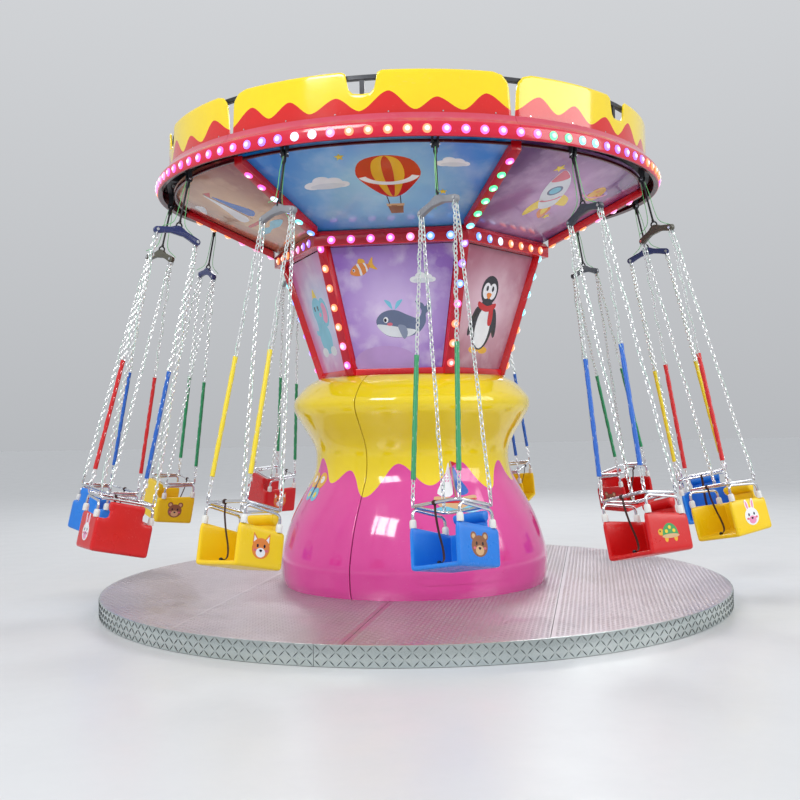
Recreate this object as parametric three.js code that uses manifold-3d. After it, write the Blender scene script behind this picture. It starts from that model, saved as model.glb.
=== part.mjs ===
// A children's chair swing ride: a round tread-plate platform, a moulded two-colour pedestal, a six-sided
// printed drum, a six-rib ceiling, a lamp rim and a scalloped crown, with twelve bucket chairs on chains.
// The canopy stands still, and a carrier ring turns in the slot between its ceiling and its rim.
// Millimetres, +Z up. The origin is the centre of the platform's underside. The front of the ride faces -Y,
// and a bearing is an angle from the front, in degrees, growing towards +X.
import * as THREE from 'three';
import { mergeVertices } from 'three/addons/utils/BufferGeometryUtils.js';
import Module from 'manifold-3d';

const wasm = await Module();
wasm.setup();

// Pieces that touch keep this gap between their faces.
const GAP = 0.3;
// A bar that joins a ring runs this far into it, and stands this far off a face that it would share.
const BITE = 10;
const FACE_STEP = 1;
// A slab that cuts a piece reaches past every piece this far sideways and up.
const CUT_REACH = 4000;
const CUT_TOP = 3000;
const MERGE_DISTANCE = 0.001;
const CURVE_SMOOTHNESS = { bevelEnabled: false, curveSegments: 4 };
// A box geometry's group for its underside, and how many indices one cell of a group takes
const UNDERSIDE = 5;
const CELL_INDICES = 6;

// Platform
const PLATFORM_RADIUS = 1983;
const PLATFORM_TOP = 107;
const PLATFORM_STEPS = 72;
const DECK_THICKNESS = 5;
const BAND_THICKNESS = 4.2;
const BAND_BOTTOM = 2;
const BAND_SEAM_BEARING = -14;
const DECK_SEAM_BEARING = -10;
const DECK_STRIP_WIDTH = 950;

// Pedestal: radius and height of its outer skin, from the deck up
const PEDESTAL_PROFILE = [
  [845, 107.3], [860, 200], [860, 295], [785, 535], [684, 724], [636, 813], [628, 936], [665, 1041],
  [701, 1099], [736, 1157], [770, 1245], [744, 1306], [705, 1351], [646, 1396], [600, 1420],
];
const PEDESTAL_STEPS = 36;
const PEDESTAL_BORE = 125;
const PEDESTAL_SEAM_BEARING = -26;
const PEDESTAL_SEAM_WIDTH = 3;
const HATCH = { start: 2, end: 38, bottom: 195, top: 571, thickness: 3 };

// Mast
const MAST_RADIUS = 110;
const MAST_TOP = 2760;
const MAST_STEPS = 24;
const MAST_FLANGE = { radius: 300, thickness: 18, pocket: 10 };
const MAST_COLLAR = { radius: 150, bottom: 2520, top: 2559.7 };
const HUB_BORE = 112.5;

// Six-sided drum, corners at CORNER_BEARING and every 60 degrees from it
const SIDES = 6;
const CORNER_BEARING = 22.4;
const SIDE_NAMES = ['front_right', 'back_right', 'back', 'back_left', 'front_left', 'front'];
const DRUM_FOOT = { corner: 610, inner: 500, bottom: 1420.3, top: 1460 };
const NECK = { corner: 910, inner: 840, bottom: 2176, top: 2266 };
const DRUM_RIB = { width: 65, depth: 55, topCorner: 858, top: 2190 };
const DRUM_BOARD = { inset: 22, thickness: 5 };
const NECK_SPOKE = { width: 40, bottom: 2225, top: 2255 };
const NECK_HUB = { radius: 150, bottom: 2215, top: 2265 };

// Ceiling
const CEILING_BOARD = {
  inner: 866, innerHeight: 2266.3, outer: 1505, outerHeight: 2595.4, thickness: 6, steps: 8, margin: 0.02,
};
const CEILING_RIB = { width: 60, depth: 50, outer: 1506, seat: 0.8 };
const CEILING_HOOP = { inner: 1490, outer: 1504, bottom: 2570, top: 2585 };
const RING_STEPS = 48;

// Lamp rim: a closed outline of radius and height, with a flange at its top that carries roof and crown
const RIM_OUTLINE = [
  [1574, 2579], [1598, 2572], [1606, 2578], [1604, 2650], [1580, 2668], [1556, 2690],
  [1550, 2710], [1490, 2710], [1490, 2698], [1544, 2698], [1574, 2660],
];

// Roof, with the hoop and posts that stand behind the crown
const ROOF = { flat: 150, edge: 1512, edgeBottom: 2710.3, thickness: 8 };
const CROWN_HOOP = { inner: 1482, outer: 1510, bottom: 2900, top: 2925 };
const CROWN_POST = { width: 25, outer: 1507, top: 2905 };

// Crown pieces, with a slot at CROWN_SLOT_BEARING and every 60 degrees from it
const CROWN_SLOT_BEARING = 21.4;
const CROWN = { inner: 1518, outer: 1530, bottom: 2710.3, top: 2940, slotBottom: 20, slotTop: 50 };
// Distance from a crown piece's middle along its arc, and how far its top edge drops there
const CROWN_EDGE = [
  [0, 120], [45, 116], [66, 94], [76, 50], [84, 12], [106, 0], [240, 0], [390, 0], [540, 0], [690, 0],
  [740, 14], [768, 48], [776, 95],
];

// Carrier that turns on the mast and holds the chairs: its arms carry the ring on a step at their ends
const CARRIER_HUB = { radius: 190, bottom: 2560, top: 2664 };
const CARRIER_ARM = { width: 50, bottom: 2610, top: 2663, shoulder: 1519, end: 1540 };
const CARRIER_ARM_BEARING = -8;
const CARRIER_RING = { inner: 1524, outer: 1548, bottom: 2628, top: 2664 };
const LUG = { halfWidth: 15, bottom: 2531, top: 2633, thickness: 10, opening: 20 };
const PIN = { radius: 8, pitchRadius: 1536, height: 2550, sides: 8 };

// Chairs: bearing, and the twist of each chair about its hanger, clockwise from above, in degrees
const CHAIR_COUNT = 12;
const FIRST_CHAIR_BEARING = 5.4;
const CHAIR_TWISTS = [-39, 3, 35, 24, 0, 0, 0, 0, 30, 44, 2, -72];
const FLING_ANGLE = 13;
const EYE = { outer: 22, hole: 9.3, thickness: 14, steps: 10 };
const HANGER_ROD = { radius: 7, top: -17, bottom: -296, sides: 6 };
const SPREADER = {
  thickness: 28, lugTop: -285, lugHalf: 26, lugCut: 13, shoulder: 45, top: -305, belly: 40, bottom: -338,
};
// The spreader's round ends: the arc starts and stops at these angles from the chair's right, in degrees
const SPREADER_END = { x: 120, z: -345, radius: 20, start: 255, stop: 430 };
const CHAIN = { radius: 6, sides: 4 };
const CHAIN_TOP = { x: 120, y: 6, z: -355 };
const SEAT_BOTTOM = -2150;
const SEAT = {
  halfWidth: 162, halfDepth: 145, frontHeight: 207, rearHeight: 180, wall: 18,
  corner: 34, heel: 26, toe: 18, lip: 12, backHalfWidth: 98, backHeight: 272,
};
const SEAT_SMOOTHNESS = { bevelEnabled: false, curveSegments: 2 };
const ARMREST = { x: 151, front: 116, rear: -100, frontHeight: 287, rearHeight: 262, radius: 8, sides: 4 };
const FERRULE = { radius: 12, sides: 6 };
const LAP_FRAME = { halfWidth: 151, front: 122, rear: -108, height: 292, slope: 4, tube: 16, corner: 26 };

const SEAT_COLOURS = ['blue', 'red', 'yellow'];
const PAINT = {
  blue: new THREE.MeshStandardMaterial({ color: 0x1e82dc, roughness: 0.35, metalness: 0 }),
  red: new THREE.MeshStandardMaterial({ color: 0xc81414, roughness: 0.35, metalness: 0 }),
  yellow: new THREE.MeshStandardMaterial({ color: 0xf0c814, roughness: 0.35, metalness: 0 }),
  pink: new THREE.MeshStandardMaterial({ color: 0xe24ea0, roughness: 0.15, metalness: 0 }),
  lampRed: new THREE.MeshStandardMaterial({ color: 0xdc1923, roughness: 0.3, metalness: 0 }),
  print: new THREE.MeshStandardMaterial({ color: 0x9c8ad2, roughness: 0.4, metalness: 0 }),
  sky: new THREE.MeshStandardMaterial({ color: 0x4b8fd0, roughness: 0.4, metalness: 0 }),
  treadPlate: new THREE.MeshStandardMaterial({ color: 0xb9bcc2, roughness: 0.35, metalness: 1 }),
  chrome: new THREE.MeshStandardMaterial({ color: 0xd9dce0, roughness: 0.15, metalness: 1 }),
  steel: new THREE.MeshStandardMaterial({ color: 0x3a3d42, roughness: 0.5, metalness: 0.8 }),
  roofGrey: new THREE.MeshStandardMaterial({ color: 0xa9adb3, roughness: 0.5, metalness: 0 }),
};

const toRadians = THREE.MathUtils.degToRad;

// A closed geometry as a manifold solid.
function toSolid(geometry) {
  const bare = geometry.clone();
  bare.deleteAttribute('normal');
  bare.deleteAttribute('uv');
  const merged = mergeVertices(bare, MERGE_DISTANCE);
  const vertProperties = new Float32Array(merged.attributes.position.array);
  const triVerts = new Uint32Array(merged.index.array);
  return new wasm.Manifold(new wasm.Mesh({ numProp: 3, vertProperties, triVerts }));
}

// A manifold solid as a geometry again.
function toGeometry(solid) {
  const { vertProperties, triVerts } = solid.getMesh();
  const geometry = new THREE.BufferGeometry();
  geometry.setAttribute('position', new THREE.BufferAttribute(vertProperties, 3));
  geometry.setIndex(new THREE.BufferAttribute(triVerts, 1));
  geometry.computeVertexNormals();
  return geometry;
}

// Several geometries joined into one solid.
function joined(geometries) {
  return geometries.map(toSolid).reduce((whole, solid) => whole.add(solid));
}

// A body turned round the upright axis from an outline of [radius, height], given anticlockwise.
function turned(outline, steps) {
  const points = outline.map(([radius, height]) => new THREE.Vector2(radius, height));
  points.push(points[0].clone());
  return new THREE.LatheGeometry(points, steps).rotateX(Math.PI / 2);
}

// A plain ring of rectangular section, or a disc when its inner radius is 0.
function ring(inner, outer, bottom, top, steps) {
  return turned([[inner, bottom], [outer, bottom], [outer, top], [inner, top]], steps);
}

// A point at a radius and a bearing, at a height.
function atBearing(radius, bearing, height) {
  const angle = toRadians(bearing);
  return new THREE.Vector3(radius * Math.sin(angle), -radius * Math.cos(angle), height);
}

// A flat outline in plan, given anticlockwise, stood up between two heights.
function upright(points, bottom, top, holes = []) {
  const shape = new THREE.Shape(points);
  shape.holes = holes.map((hole) => new THREE.Path(hole));
  const geometry = new THREE.ExtrudeGeometry(shape, { depth: top - bottom, ...CURVE_SMOOTHNESS });
  return geometry.translate(0, 0, bottom);
}

// A plate that stands on a bearing: its outline is [radius, height], and shift moves it along the rim.
function radialPlate(outline, thickness, bearing, shift = 0) {
  const shape = new THREE.Shape(outline.map(([radius, height]) => new THREE.Vector2(radius, height)));
  const plate = new THREE.ExtrudeGeometry(shape, { depth: thickness, bevelEnabled: false });
  plate.translate(0, 0, shift - thickness / 2);
  return plate.rotateX(Math.PI / 2).rotateZ(toRadians(bearing - 90));
}

// A block of columns by rows whose corners are moved by place(u, v, w), each from 0 to 1. Its underside is
// split along the same diagonals as its top, so a bent sheet keeps its thickness.
function shapedBlock(columns, rows, place) {
  const block = new THREE.BoxGeometry(1, 1, 1, columns, rows, 1).translate(0.5, 0.5, 0.5);
  const { start, count } = block.groups[UNDERSIDE];
  for (let i = start; i < start + count; i += CELL_INDICES) {
    const [first, second, fourth, , third] = block.index.array.slice(i, i + CELL_INDICES);
    block.index.array.set([first, second, third, first, third, fourth], i);
  }
  const { position } = block.attributes;
  const corner = new THREE.Vector3();
  for (let i = 0; i < position.count; i += 1) {
    corner.fromBufferAttribute(position, i);
    const moved = place(corner.x, corner.y, corner.z);
    position.setXYZ(i, moved.x, moved.y, moved.z);
  }
  return block;
}

// A straight round bar between two points.
function bar(from, to, radius, sides) {
  const span = to.clone().sub(from);
  const along = span.clone().normalize();
  const turn = new THREE.Quaternion().setFromUnitVectors(new THREE.Vector3(0, 1, 0), along);
  const middle = from.clone().lerp(to, 0.5);
  const geometry = new THREE.CylinderGeometry(radius, radius, span.length(), sides);
  return geometry.applyQuaternion(turn).translate(middle.x, middle.y, middle.z);
}

// The plan of a regular six-sided ring with its corners on the drum's bearings, anticlockwise.
function hexagon(corner) {
  const points = [];
  for (let side = 0; side < SIDES; side += 1) {
    const point = atBearing(corner, CORNER_BEARING + (side * 360) / SIDES, 0);
    points.push(new THREE.Vector2(point.x, point.y));
  }
  return points;
}

const ride = new THREE.Group();

// Adds one named piece to the ride or to a group in it.
function addPiece(name, solid, material, parent = ride) {
  const mesh = new THREE.Mesh(toGeometry(solid), material);
  mesh.name = name;
  parent.add(mesh);
}

// A slab that cuts the plan: its sides run on a bearing, from one distance to the line's right to another.
function planSlab(bearing, from, to) {
  const corners = [[from, -CUT_REACH], [to, -CUT_REACH], [to, CUT_REACH], [from, CUT_REACH]];
  const block = upright(corners.map(([x, y]) => new THREE.Vector2(x, y)), 0, CUT_TOP);
  return toSolid(block.rotateZ(toRadians(bearing)));
}

function buildPlatform() {
  const skirt = PLATFORM_RADIUS - BAND_THICKNESS - GAP;
  const deckBottom = PLATFORM_TOP - DECK_THICKNESS;
  addPiece('platform_base', toSolid(ring(0, skirt, 0, deckBottom - GAP, PLATFORM_STEPS)), PAINT.steel);

  const deck = toSolid(ring(0, skirt, deckBottom, PLATFORM_TOP, PLATFORM_STEPS));
  const edges = [-PLATFORM_RADIUS, -DECK_STRIP_WIDTH, 0, DECK_STRIP_WIDTH, PLATFORM_RADIUS];
  const names = ['left_outer', 'left_inner', 'right_inner', 'right_outer'];
  names.forEach((name, index) => {
    const strip = planSlab(DECK_SEAM_BEARING, edges[index] + GAP / 2, edges[index + 1] - GAP / 2);
    addPiece(`deck_plate_${name}`, deck.intersect(strip), PAINT.treadPlate);
  });

  const band = toSolid(ring(skirt + GAP, PLATFORM_RADIUS, BAND_BOTTOM, PLATFORM_TOP, PLATFORM_STEPS));
  addPiece('edge_band_left', band.intersect(planSlab(BAND_SEAM_BEARING, -CUT_REACH, -GAP)), PAINT.treadPlate);
  addPiece('edge_band_right', band.intersect(planSlab(BAND_SEAM_BEARING, GAP, CUT_REACH)), PAINT.treadPlate);
}

// The pedestal's outer skin pushed out by an amount, closed inwards at a bore.
function pedestalSkin(outwards, bore) {
  const skin = PEDESTAL_PROFILE.map(([radius, height]) => [radius + outwards, height]);
  const foot = skin[0][1];
  const head = skin[skin.length - 1][1];
  return toSolid(turned([[bore, foot], ...skin, [bore, head]], PEDESTAL_STEPS));
}

function buildPedestal() {
  const { radius, thickness, pocket } = MAST_FLANGE;
  const flangePocket = toSolid(ring(0, radius + pocket, 0, PLATFORM_TOP + thickness + pocket, MAST_STEPS));
  const body = pedestalSkin(0, PEDESTAL_BORE).subtract(flangePocket);
  const clear = PEDESTAL_SEAM_WIDTH / 2;
  const rightSide = planSlab(PEDESTAL_SEAM_BEARING, clear, CUT_REACH);
  const leftSide = planSlab(PEDESTAL_SEAM_BEARING, -CUT_REACH, -clear);
  addPiece('pedestal_half_right', body.intersect(rightSide), PAINT.pink);
  addPiece('pedestal_half_left', body.intersect(leftSide), PAINT.pink);

  const coverFace = pedestalSkin(GAP + HATCH.thickness, PEDESTAL_BORE);
  const cover = coverFace.subtract(pedestalSkin(GAP, PEDESTAL_BORE / 2));
  const near = atBearing(PLATFORM_RADIUS, HATCH.start, 0);
  const far = atBearing(PLATFORM_RADIUS, HATCH.end, 0);
  const wedge = [new THREE.Vector2(0, 0), new THREE.Vector2(near.x, near.y), new THREE.Vector2(far.x, far.y)];
  addPiece('pedestal_hatch', cover.intersect(toSolid(upright(wedge, HATCH.bottom, HATCH.top))), PAINT.pink);
}

function buildMast() {
  const foot = PLATFORM_TOP + GAP;
  const flangeTop = foot + MAST_FLANGE.thickness;
  const outline = [
    [0, foot], [MAST_FLANGE.radius, foot], [MAST_FLANGE.radius, flangeTop], [MAST_RADIUS, flangeTop],
    [MAST_RADIUS, MAST_COLLAR.bottom], [MAST_COLLAR.radius, MAST_COLLAR.bottom],
    [MAST_COLLAR.radius, MAST_COLLAR.top], [MAST_RADIUS, MAST_COLLAR.top],
    [MAST_RADIUS, MAST_TOP], [0, MAST_TOP],
  ];
  addPiece('centre_mast', toSolid(turned(outline, MAST_STEPS)), PAINT.steel);
}

function buildDrum() {
  const parts = [
    upright(hexagon(DRUM_FOOT.corner), DRUM_FOOT.bottom, DRUM_FOOT.top, [hexagon(DRUM_FOOT.inner).reverse()]),
    upright(hexagon(NECK.corner), NECK.bottom, NECK.top, [hexagon(NECK.inner).reverse()]),
    ring(HUB_BORE, NECK_HUB.radius, NECK_HUB.bottom, NECK_HUB.top, MAST_STEPS),
  ];
  const ribOutline = [
    [DRUM_FOOT.corner - DRUM_RIB.depth, DRUM_FOOT.bottom + FACE_STEP],
    [DRUM_FOOT.corner + FACE_STEP, DRUM_FOOT.bottom + FACE_STEP],
    [DRUM_RIB.topCorner, DRUM_RIB.top],
    [DRUM_RIB.topCorner - DRUM_RIB.depth, DRUM_RIB.top],
  ];
  const spokeOutline = [
    [NECK_HUB.radius - BITE, NECK_SPOKE.bottom], [NECK.inner + BITE, NECK_SPOKE.bottom],
    [NECK.inner + BITE, NECK_SPOKE.top], [NECK_HUB.radius - BITE, NECK_SPOKE.top],
  ];
  for (let side = 0; side < SIDES; side += 1) {
    const bearing = CORNER_BEARING + (side * 360) / SIDES;
    parts.push(radialPlate(ribOutline, DRUM_RIB.width, bearing));
    parts.push(radialPlate(spokeOutline, NECK_SPOKE.width, bearing));
  }
  addPiece('drum_frame', joined(parts), PAINT.lampRed);

  // A board lies between two ribs, a little behind their faces, and stops short of their sides.
  const half = toRadians(180 / SIDES);
  const boardBottom = DRUM_FOOT.top + GAP;
  const boardTop = NECK.bottom - GAP;
  SIDE_NAMES.forEach((name, side) => {
    const bearing = CORNER_BEARING + ((side + 0.5) * 360) / SIDES;
    const board = shapedBlock(1, 1, (u, v, w) => {
      const height = THREE.MathUtils.lerp(boardBottom, boardTop, w);
      const rise = (height - DRUM_FOOT.bottom) / (DRUM_RIB.top - DRUM_FOOT.bottom);
      const corner = THREE.MathUtils.lerp(DRUM_FOOT.corner, DRUM_RIB.topCorner, rise);
      const face = corner * Math.cos(half) - DRUM_BOARD.inset;
      const back = face - DRUM_BOARD.thickness;
      const halfWidth = (back * Math.sin(half) - DRUM_RIB.width / 2) / Math.cos(half) - GAP;
      return new THREE.Vector3((2 * u - 1) * halfWidth, -THREE.MathUtils.lerp(face, back, v), height);
    });
    addPiece(`drum_board_${name}`, toSolid(board.rotateZ(toRadians(bearing))), PAINT.print);
  });
}

// Height of the ceiling boards' underside above a rib, at a radius.
function ceilingHeight(radius) {
  const share = (radius - CEILING_BOARD.inner) / (CEILING_BOARD.outer - CEILING_BOARD.inner);
  return THREE.MathUtils.lerp(CEILING_BOARD.innerHeight, CEILING_BOARD.outerHeight, share);
}

function buildCeiling() {
  const ribStart = NECK.corner + GAP;
  const startHeight = ceilingHeight(ribStart);
  const endHeight = ceilingHeight(CEILING_RIB.outer);
  const ribOutline = [
    [ribStart, startHeight - CEILING_RIB.depth], [CEILING_RIB.outer, endHeight - CEILING_RIB.depth],
    [CEILING_RIB.outer, endHeight - CEILING_RIB.seat], [ribStart, startHeight - CEILING_RIB.seat],
  ];
  const { inner, outer, bottom, top } = CEILING_HOOP;
  const parts = [ring(inner, outer, bottom, top, RING_STEPS)];
  for (let side = 0; side < SIDES; side += 1) {
    parts.push(radialPlate(ribOutline, CEILING_RIB.width, CORNER_BEARING + (side * 360) / SIDES));
  }
  addPiece('ceiling_frame', joined(parts), PAINT.lampRed);

  // A board runs from the neck's straight side out to the round slot, in straight lines between the two.
  SIDE_NAMES.forEach((name, side) => {
    const start = CORNER_BEARING + (side * 360) / SIDES + CEILING_BOARD.margin;
    const end = CORNER_BEARING + ((side + 1) * 360) / SIDES - CEILING_BOARD.margin;
    const from = atBearing(CEILING_BOARD.inner, start, CEILING_BOARD.innerHeight);
    const to = atBearing(CEILING_BOARD.inner, end, CEILING_BOARD.innerHeight);
    const board = shapedBlock(CEILING_BOARD.steps, 1, (u, v, w) => {
      const bearing = THREE.MathUtils.lerp(start, end, u);
      const near = from.clone().lerp(to, u);
      const point = atBearing(CEILING_BOARD.outer, bearing, CEILING_BOARD.outerHeight).lerp(near, v);
      point.z += w * CEILING_BOARD.thickness;
      return point;
    });
    addPiece(`ceiling_board_${name}`, toSolid(board), PAINT.sky);
  });
}

function buildRimAndRoof() {
  addPiece('lamp_rim', toSolid(turned(RIM_OUTLINE, RING_STEPS)), PAINT.lampRed);

  const middle = MAST_TOP + GAP;
  const cone = turned([
    [0, middle], [ROOF.flat, middle], [ROOF.edge, ROOF.edgeBottom],
    [ROOF.edge, ROOF.edgeBottom + ROOF.thickness],
    [ROOF.flat, middle + ROOF.thickness], [0, middle + ROOF.thickness],
  ], RING_STEPS);
  const { inner, outer, bottom, top } = CROWN_HOOP;
  const parts = [cone, ring(inner, outer, bottom, top, RING_STEPS)];
  const postInner = inner + FACE_STEP;
  const postBottom = ROOF.edgeBottom + ROOF.thickness / 2;
  const postOutline = [
    [postInner, postBottom], [CROWN_POST.outer, postBottom],
    [CROWN_POST.outer, CROWN_POST.top], [postInner, CROWN_POST.top],
  ];
  for (let side = 0; side < SIDES; side += 1) {
    const bearing = CROWN_SLOT_BEARING + ((side + 0.5) * 360) / SIDES;
    parts.push(radialPlate(postOutline, CROWN_POST.width, bearing));
  }
  addPiece('roof', joined(parts), PAINT.roofGrey);
}

function buildCrown() {
  // The top edge from one slot over the notch to the other slot
  const rightEdge = CROWN_EDGE.slice(1);
  const leftEdge = rightEdge.map(([distance, drop]) => [-distance, drop]).reverse();
  const edge = [...leftEdge, CROWN_EDGE[0], ...rightEdge];
  const columns = edge.length - 1;
  const topReach = CROWN_EDGE[CROWN_EDGE.length - 1][0];
  const bottomReach = topReach + (CROWN.slotTop - CROWN.slotBottom) / 2;
  SIDE_NAMES.forEach((name, side) => {
    const middle = CROWN_SLOT_BEARING + ((side + 0.5) * 360) / SIDES;
    const piece = shapedBlock(columns, 1, (u, v, w) => {
      const [distance, drop] = edge[Math.round(u * columns)];
      const stretch = THREE.MathUtils.lerp(bottomReach / topReach, 1, w);
      const bearing = middle + THREE.MathUtils.radToDeg((distance * stretch) / CROWN.outer);
      const height = THREE.MathUtils.lerp(CROWN.bottom, CROWN.top - drop, w);
      return atBearing(THREE.MathUtils.lerp(CROWN.outer, CROWN.inner, v), bearing, height);
    });
    addPiece(`crown_piece_${name}`, toSolid(piece), PAINT.yellow);
  });
}

const bearingOfChair = (index) => FIRST_CHAIR_BEARING + (index * 360) / CHAIR_COUNT;

function buildCarrier(parent) {
  const hub = ring(HUB_BORE, CARRIER_HUB.radius, CARRIER_HUB.bottom, CARRIER_HUB.top, MAST_STEPS);
  const { width, shoulder, end } = CARRIER_ARM;
  const armStart = CARRIER_HUB.radius - BITE;
  const step = CARRIER_RING.bottom - GAP;
  const armOutline = [
    [armStart, CARRIER_ARM.bottom], [end, CARRIER_ARM.bottom], [end, step], [shoulder, step],
    [shoulder, CARRIER_ARM.top], [armStart, CARRIER_ARM.top],
  ];
  const arms = [hub];
  for (let arm = 0; arm < SIDES; arm += 1) {
    arms.push(radialPlate(armOutline, width, CARRIER_ARM_BEARING + (arm * 360) / SIDES));
  }
  addPiece('carrier_arms', joined(arms), PAINT.steel, parent);

  const { inner, outer, bottom, top } = CARRIER_RING;
  const parts = [ring(inner, outer, bottom, top, RING_STEPS)];
  const { pitchRadius, height } = PIN;
  const cheekOutline = [
    [pitchRadius - LUG.halfWidth / 2, LUG.bottom], [pitchRadius + LUG.halfWidth / 2, LUG.bottom],
    [pitchRadius + LUG.halfWidth, LUG.top], [pitchRadius - LUG.halfWidth, LUG.top],
  ];
  const cheekShift = (LUG.opening + LUG.thickness) / 2;
  const pinLength = LUG.opening + LUG.thickness;
  for (let chair = 0; chair < CHAIR_COUNT; chair += 1) {
    const bearing = bearingOfChair(chair);
    parts.push(radialPlate(cheekOutline, LUG.thickness, bearing, cheekShift));
    parts.push(radialPlate(cheekOutline, LUG.thickness, bearing, -cheekShift));
    const pin = new THREE.CylinderGeometry(PIN.radius, PIN.radius, pinLength, PIN.sides);
    parts.push(pin.rotateZ(Math.PI / 2).translate(0, -pitchRadius, height).rotateZ(toRadians(bearing)));
  }
  addPiece('carrier_ring', joined(parts), PAINT.steel, parent);
}

// The spreader that the hanger rod holds: a centre lug and two arms with rounded, drooping ends.
function spreaderOutline() {
  const { lugTop, lugHalf, lugCut, shoulder, top, belly, bottom } = SPREADER;
  const { x, z, radius } = SPREADER_END;
  const start = toRadians(SPREADER_END.start);
  const stop = toRadians(SPREADER_END.stop);
  const shape = new THREE.Shape();
  shape.moveTo(-belly, bottom);
  shape.lineTo(belly, bottom);
  shape.absarc(x, z, radius, start, stop, false);
  shape.lineTo(shoulder, top);
  shape.lineTo(lugHalf, lugTop - lugCut);
  shape.lineTo(lugHalf - lugCut, lugTop);
  shape.lineTo(lugCut - lugHalf, lugTop);
  shape.lineTo(-lugHalf, lugTop - lugCut);
  shape.lineTo(-shoulder, top);
  shape.absarc(-x, z, radius, 3 * Math.PI - stop, 3 * Math.PI - start, false);
  return shape;
}

// A rectangle in plan with its corners cut off, anticlockwise.
function cutRectangle(left, right, rear, front, cut) {
  return [
    [left + cut, rear], [right - cut, rear], [right, rear + cut], [right, front - cut],
    [right - cut, front], [left + cut, front], [left, front - cut], [left, rear + cut],
  ].map(([x, y]) => new THREE.Vector2(x, y));
}

// A rounded rectangle in plan, anticlockwise, of straight sides and quarter arcs.
function roundedRectangle(left, right, rear, front, corner) {
  const shape = new THREE.Shape();
  shape.moveTo(left + corner, rear);
  shape.absarc(right - corner, rear + corner, corner, -Math.PI / 2, 0, false);
  shape.absarc(right - corner, front - corner, corner, 0, Math.PI / 2, false);
  shape.absarc(left + corner, front - corner, corner, Math.PI / 2, Math.PI, false);
  shape.absarc(left + corner, rear + corner, corner, Math.PI, Math.PI * 1.5, false);
  return shape;
}

// Height of a seat's side panel above the seat's underside, at a distance forwards of its middle.
function panelHeight(forward) {
  const share = (forward + SEAT.halfDepth) / (2 * SEAT.halfDepth);
  return THREE.MathUtils.lerp(SEAT.rearHeight, SEAT.frontHeight, share);
}

// Spreader, four chains, armrest tubes and lap frame, in the chair's own frame: x across, y forwards.
function chairRigging() {
  const { thickness } = SPREADER;
  const spreader = new THREE.ExtrudeGeometry(spreaderOutline(), { depth: thickness, ...CURVE_SMOOTHNESS });
  const parts = [spreader.translate(0, 0, -thickness / 2).rotateX(Math.PI / 2)];

  const { halfWidth, front, rear, height, slope, tube, corner } = LAP_FRAME;
  const edge = tube / 2;
  const far = halfWidth + edge;
  const near = halfWidth - edge;
  const outside = cutRectangle(-far, far, rear - edge, front + edge, corner);
  const inside = cutRectangle(-near, near, rear + edge, front - edge, corner - edge);
  const frame = upright(outside, -edge, edge, [inside.reverse()]);
  parts.push(frame.rotateX(toRadians(slope)).translate(0, 0, SEAT_BOTTOM + height));

  for (const side of [-1, 1]) {
    const frontTop = new THREE.Vector3(side * ARMREST.x, ARMREST.front, SEAT_BOTTOM + ARMREST.frontHeight);
    const rearTop = new THREE.Vector3(side * ARMREST.x, ARMREST.rear, SEAT_BOTTOM + ARMREST.rearHeight);
    parts.push(bar(rearTop, frontTop, ARMREST.radius, ARMREST.sides));
    for (const top of [frontTop, rearTop]) {
      const foot = SEAT_BOTTOM + panelHeight(top.y + FERRULE.radius) + GAP;
      parts.push(bar(new THREE.Vector3(top.x, top.y, foot), top, FERRULE.radius, FERRULE.sides));
      const chainTop = new THREE.Vector3(side * CHAIN_TOP.x, Math.sign(top.y) * CHAIN_TOP.y, CHAIN_TOP.z);
      parts.push(bar(top, chainTop, CHAIN.radius, CHAIN.sides));
    }
  }
  return parts;
}

// The hanger: an eye on the pin, whose axis is the chair's line of travel, and a rod.
function hanger() {
  const half = EYE.thickness / 2;
  const eye = ring(EYE.hole, EYE.outer, -half, half, EYE.steps).rotateX(Math.PI / 2);
  const rodTop = new THREE.Vector3(0, 0, HANGER_ROD.top);
  const rodBottom = new THREE.Vector3(0, 0, HANGER_ROD.bottom);
  return [eye, bar(rodBottom, rodTop, HANGER_ROD.radius, HANGER_ROD.sides)];
}

// A moulded bucket seat, open at its front and top, with a raised back.
function seatSolid() {
  const { halfWidth, halfDepth, wall, corner, heel, toe, lip, backHalfWidth, backHeight } = SEAT;
  const profile = new THREE.Shape();
  profile.moveTo(-halfDepth, heel);
  profile.quadraticCurveTo(-halfDepth, 0, heel - halfDepth, 0);
  profile.lineTo(halfDepth - toe, 0);
  profile.quadraticCurveTo(halfDepth, 0, halfDepth, toe);
  profile.lineTo(halfDepth, panelHeight(halfDepth) - lip);
  profile.lineTo(halfDepth - lip, panelHeight(halfDepth - lip));
  profile.lineTo(-halfDepth, panelHeight(-halfDepth));
  const across = new THREE.ExtrudeGeometry(profile, { depth: 2 * halfWidth, ...SEAT_SMOOTHNESS });
  across.rotateX(Math.PI / 2).rotateZ(Math.PI / 2).translate(-halfWidth, 0, 0);
  const plan = roundedRectangle(-halfWidth, halfWidth, -halfDepth, halfDepth, corner);
  const planBlock = new THREE.ExtrudeGeometry(plan, { depth: backHeight, ...SEAT_SMOOTHNESS });
  const outside = toSolid(across).intersect(toSolid(planBlock));

  const raised = new THREE.BoxGeometry(2 * backHalfWidth, wall, backHeight - wall);
  raised.translate(0, -halfDepth + wall / 2, (backHeight + wall) / 2);
  const side = halfWidth - wall;
  const inner = roundedRectangle(-side, side, wall - halfDepth, 2 * halfDepth, corner - wall / 2);
  const hollow = new THREE.ExtrudeGeometry(inner, { depth: backHeight, ...SEAT_SMOOTHNESS });
  return outside.add(toSolid(raised)).subtract(toSolid(hollow.translate(0, 0, wall)));
}

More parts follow.
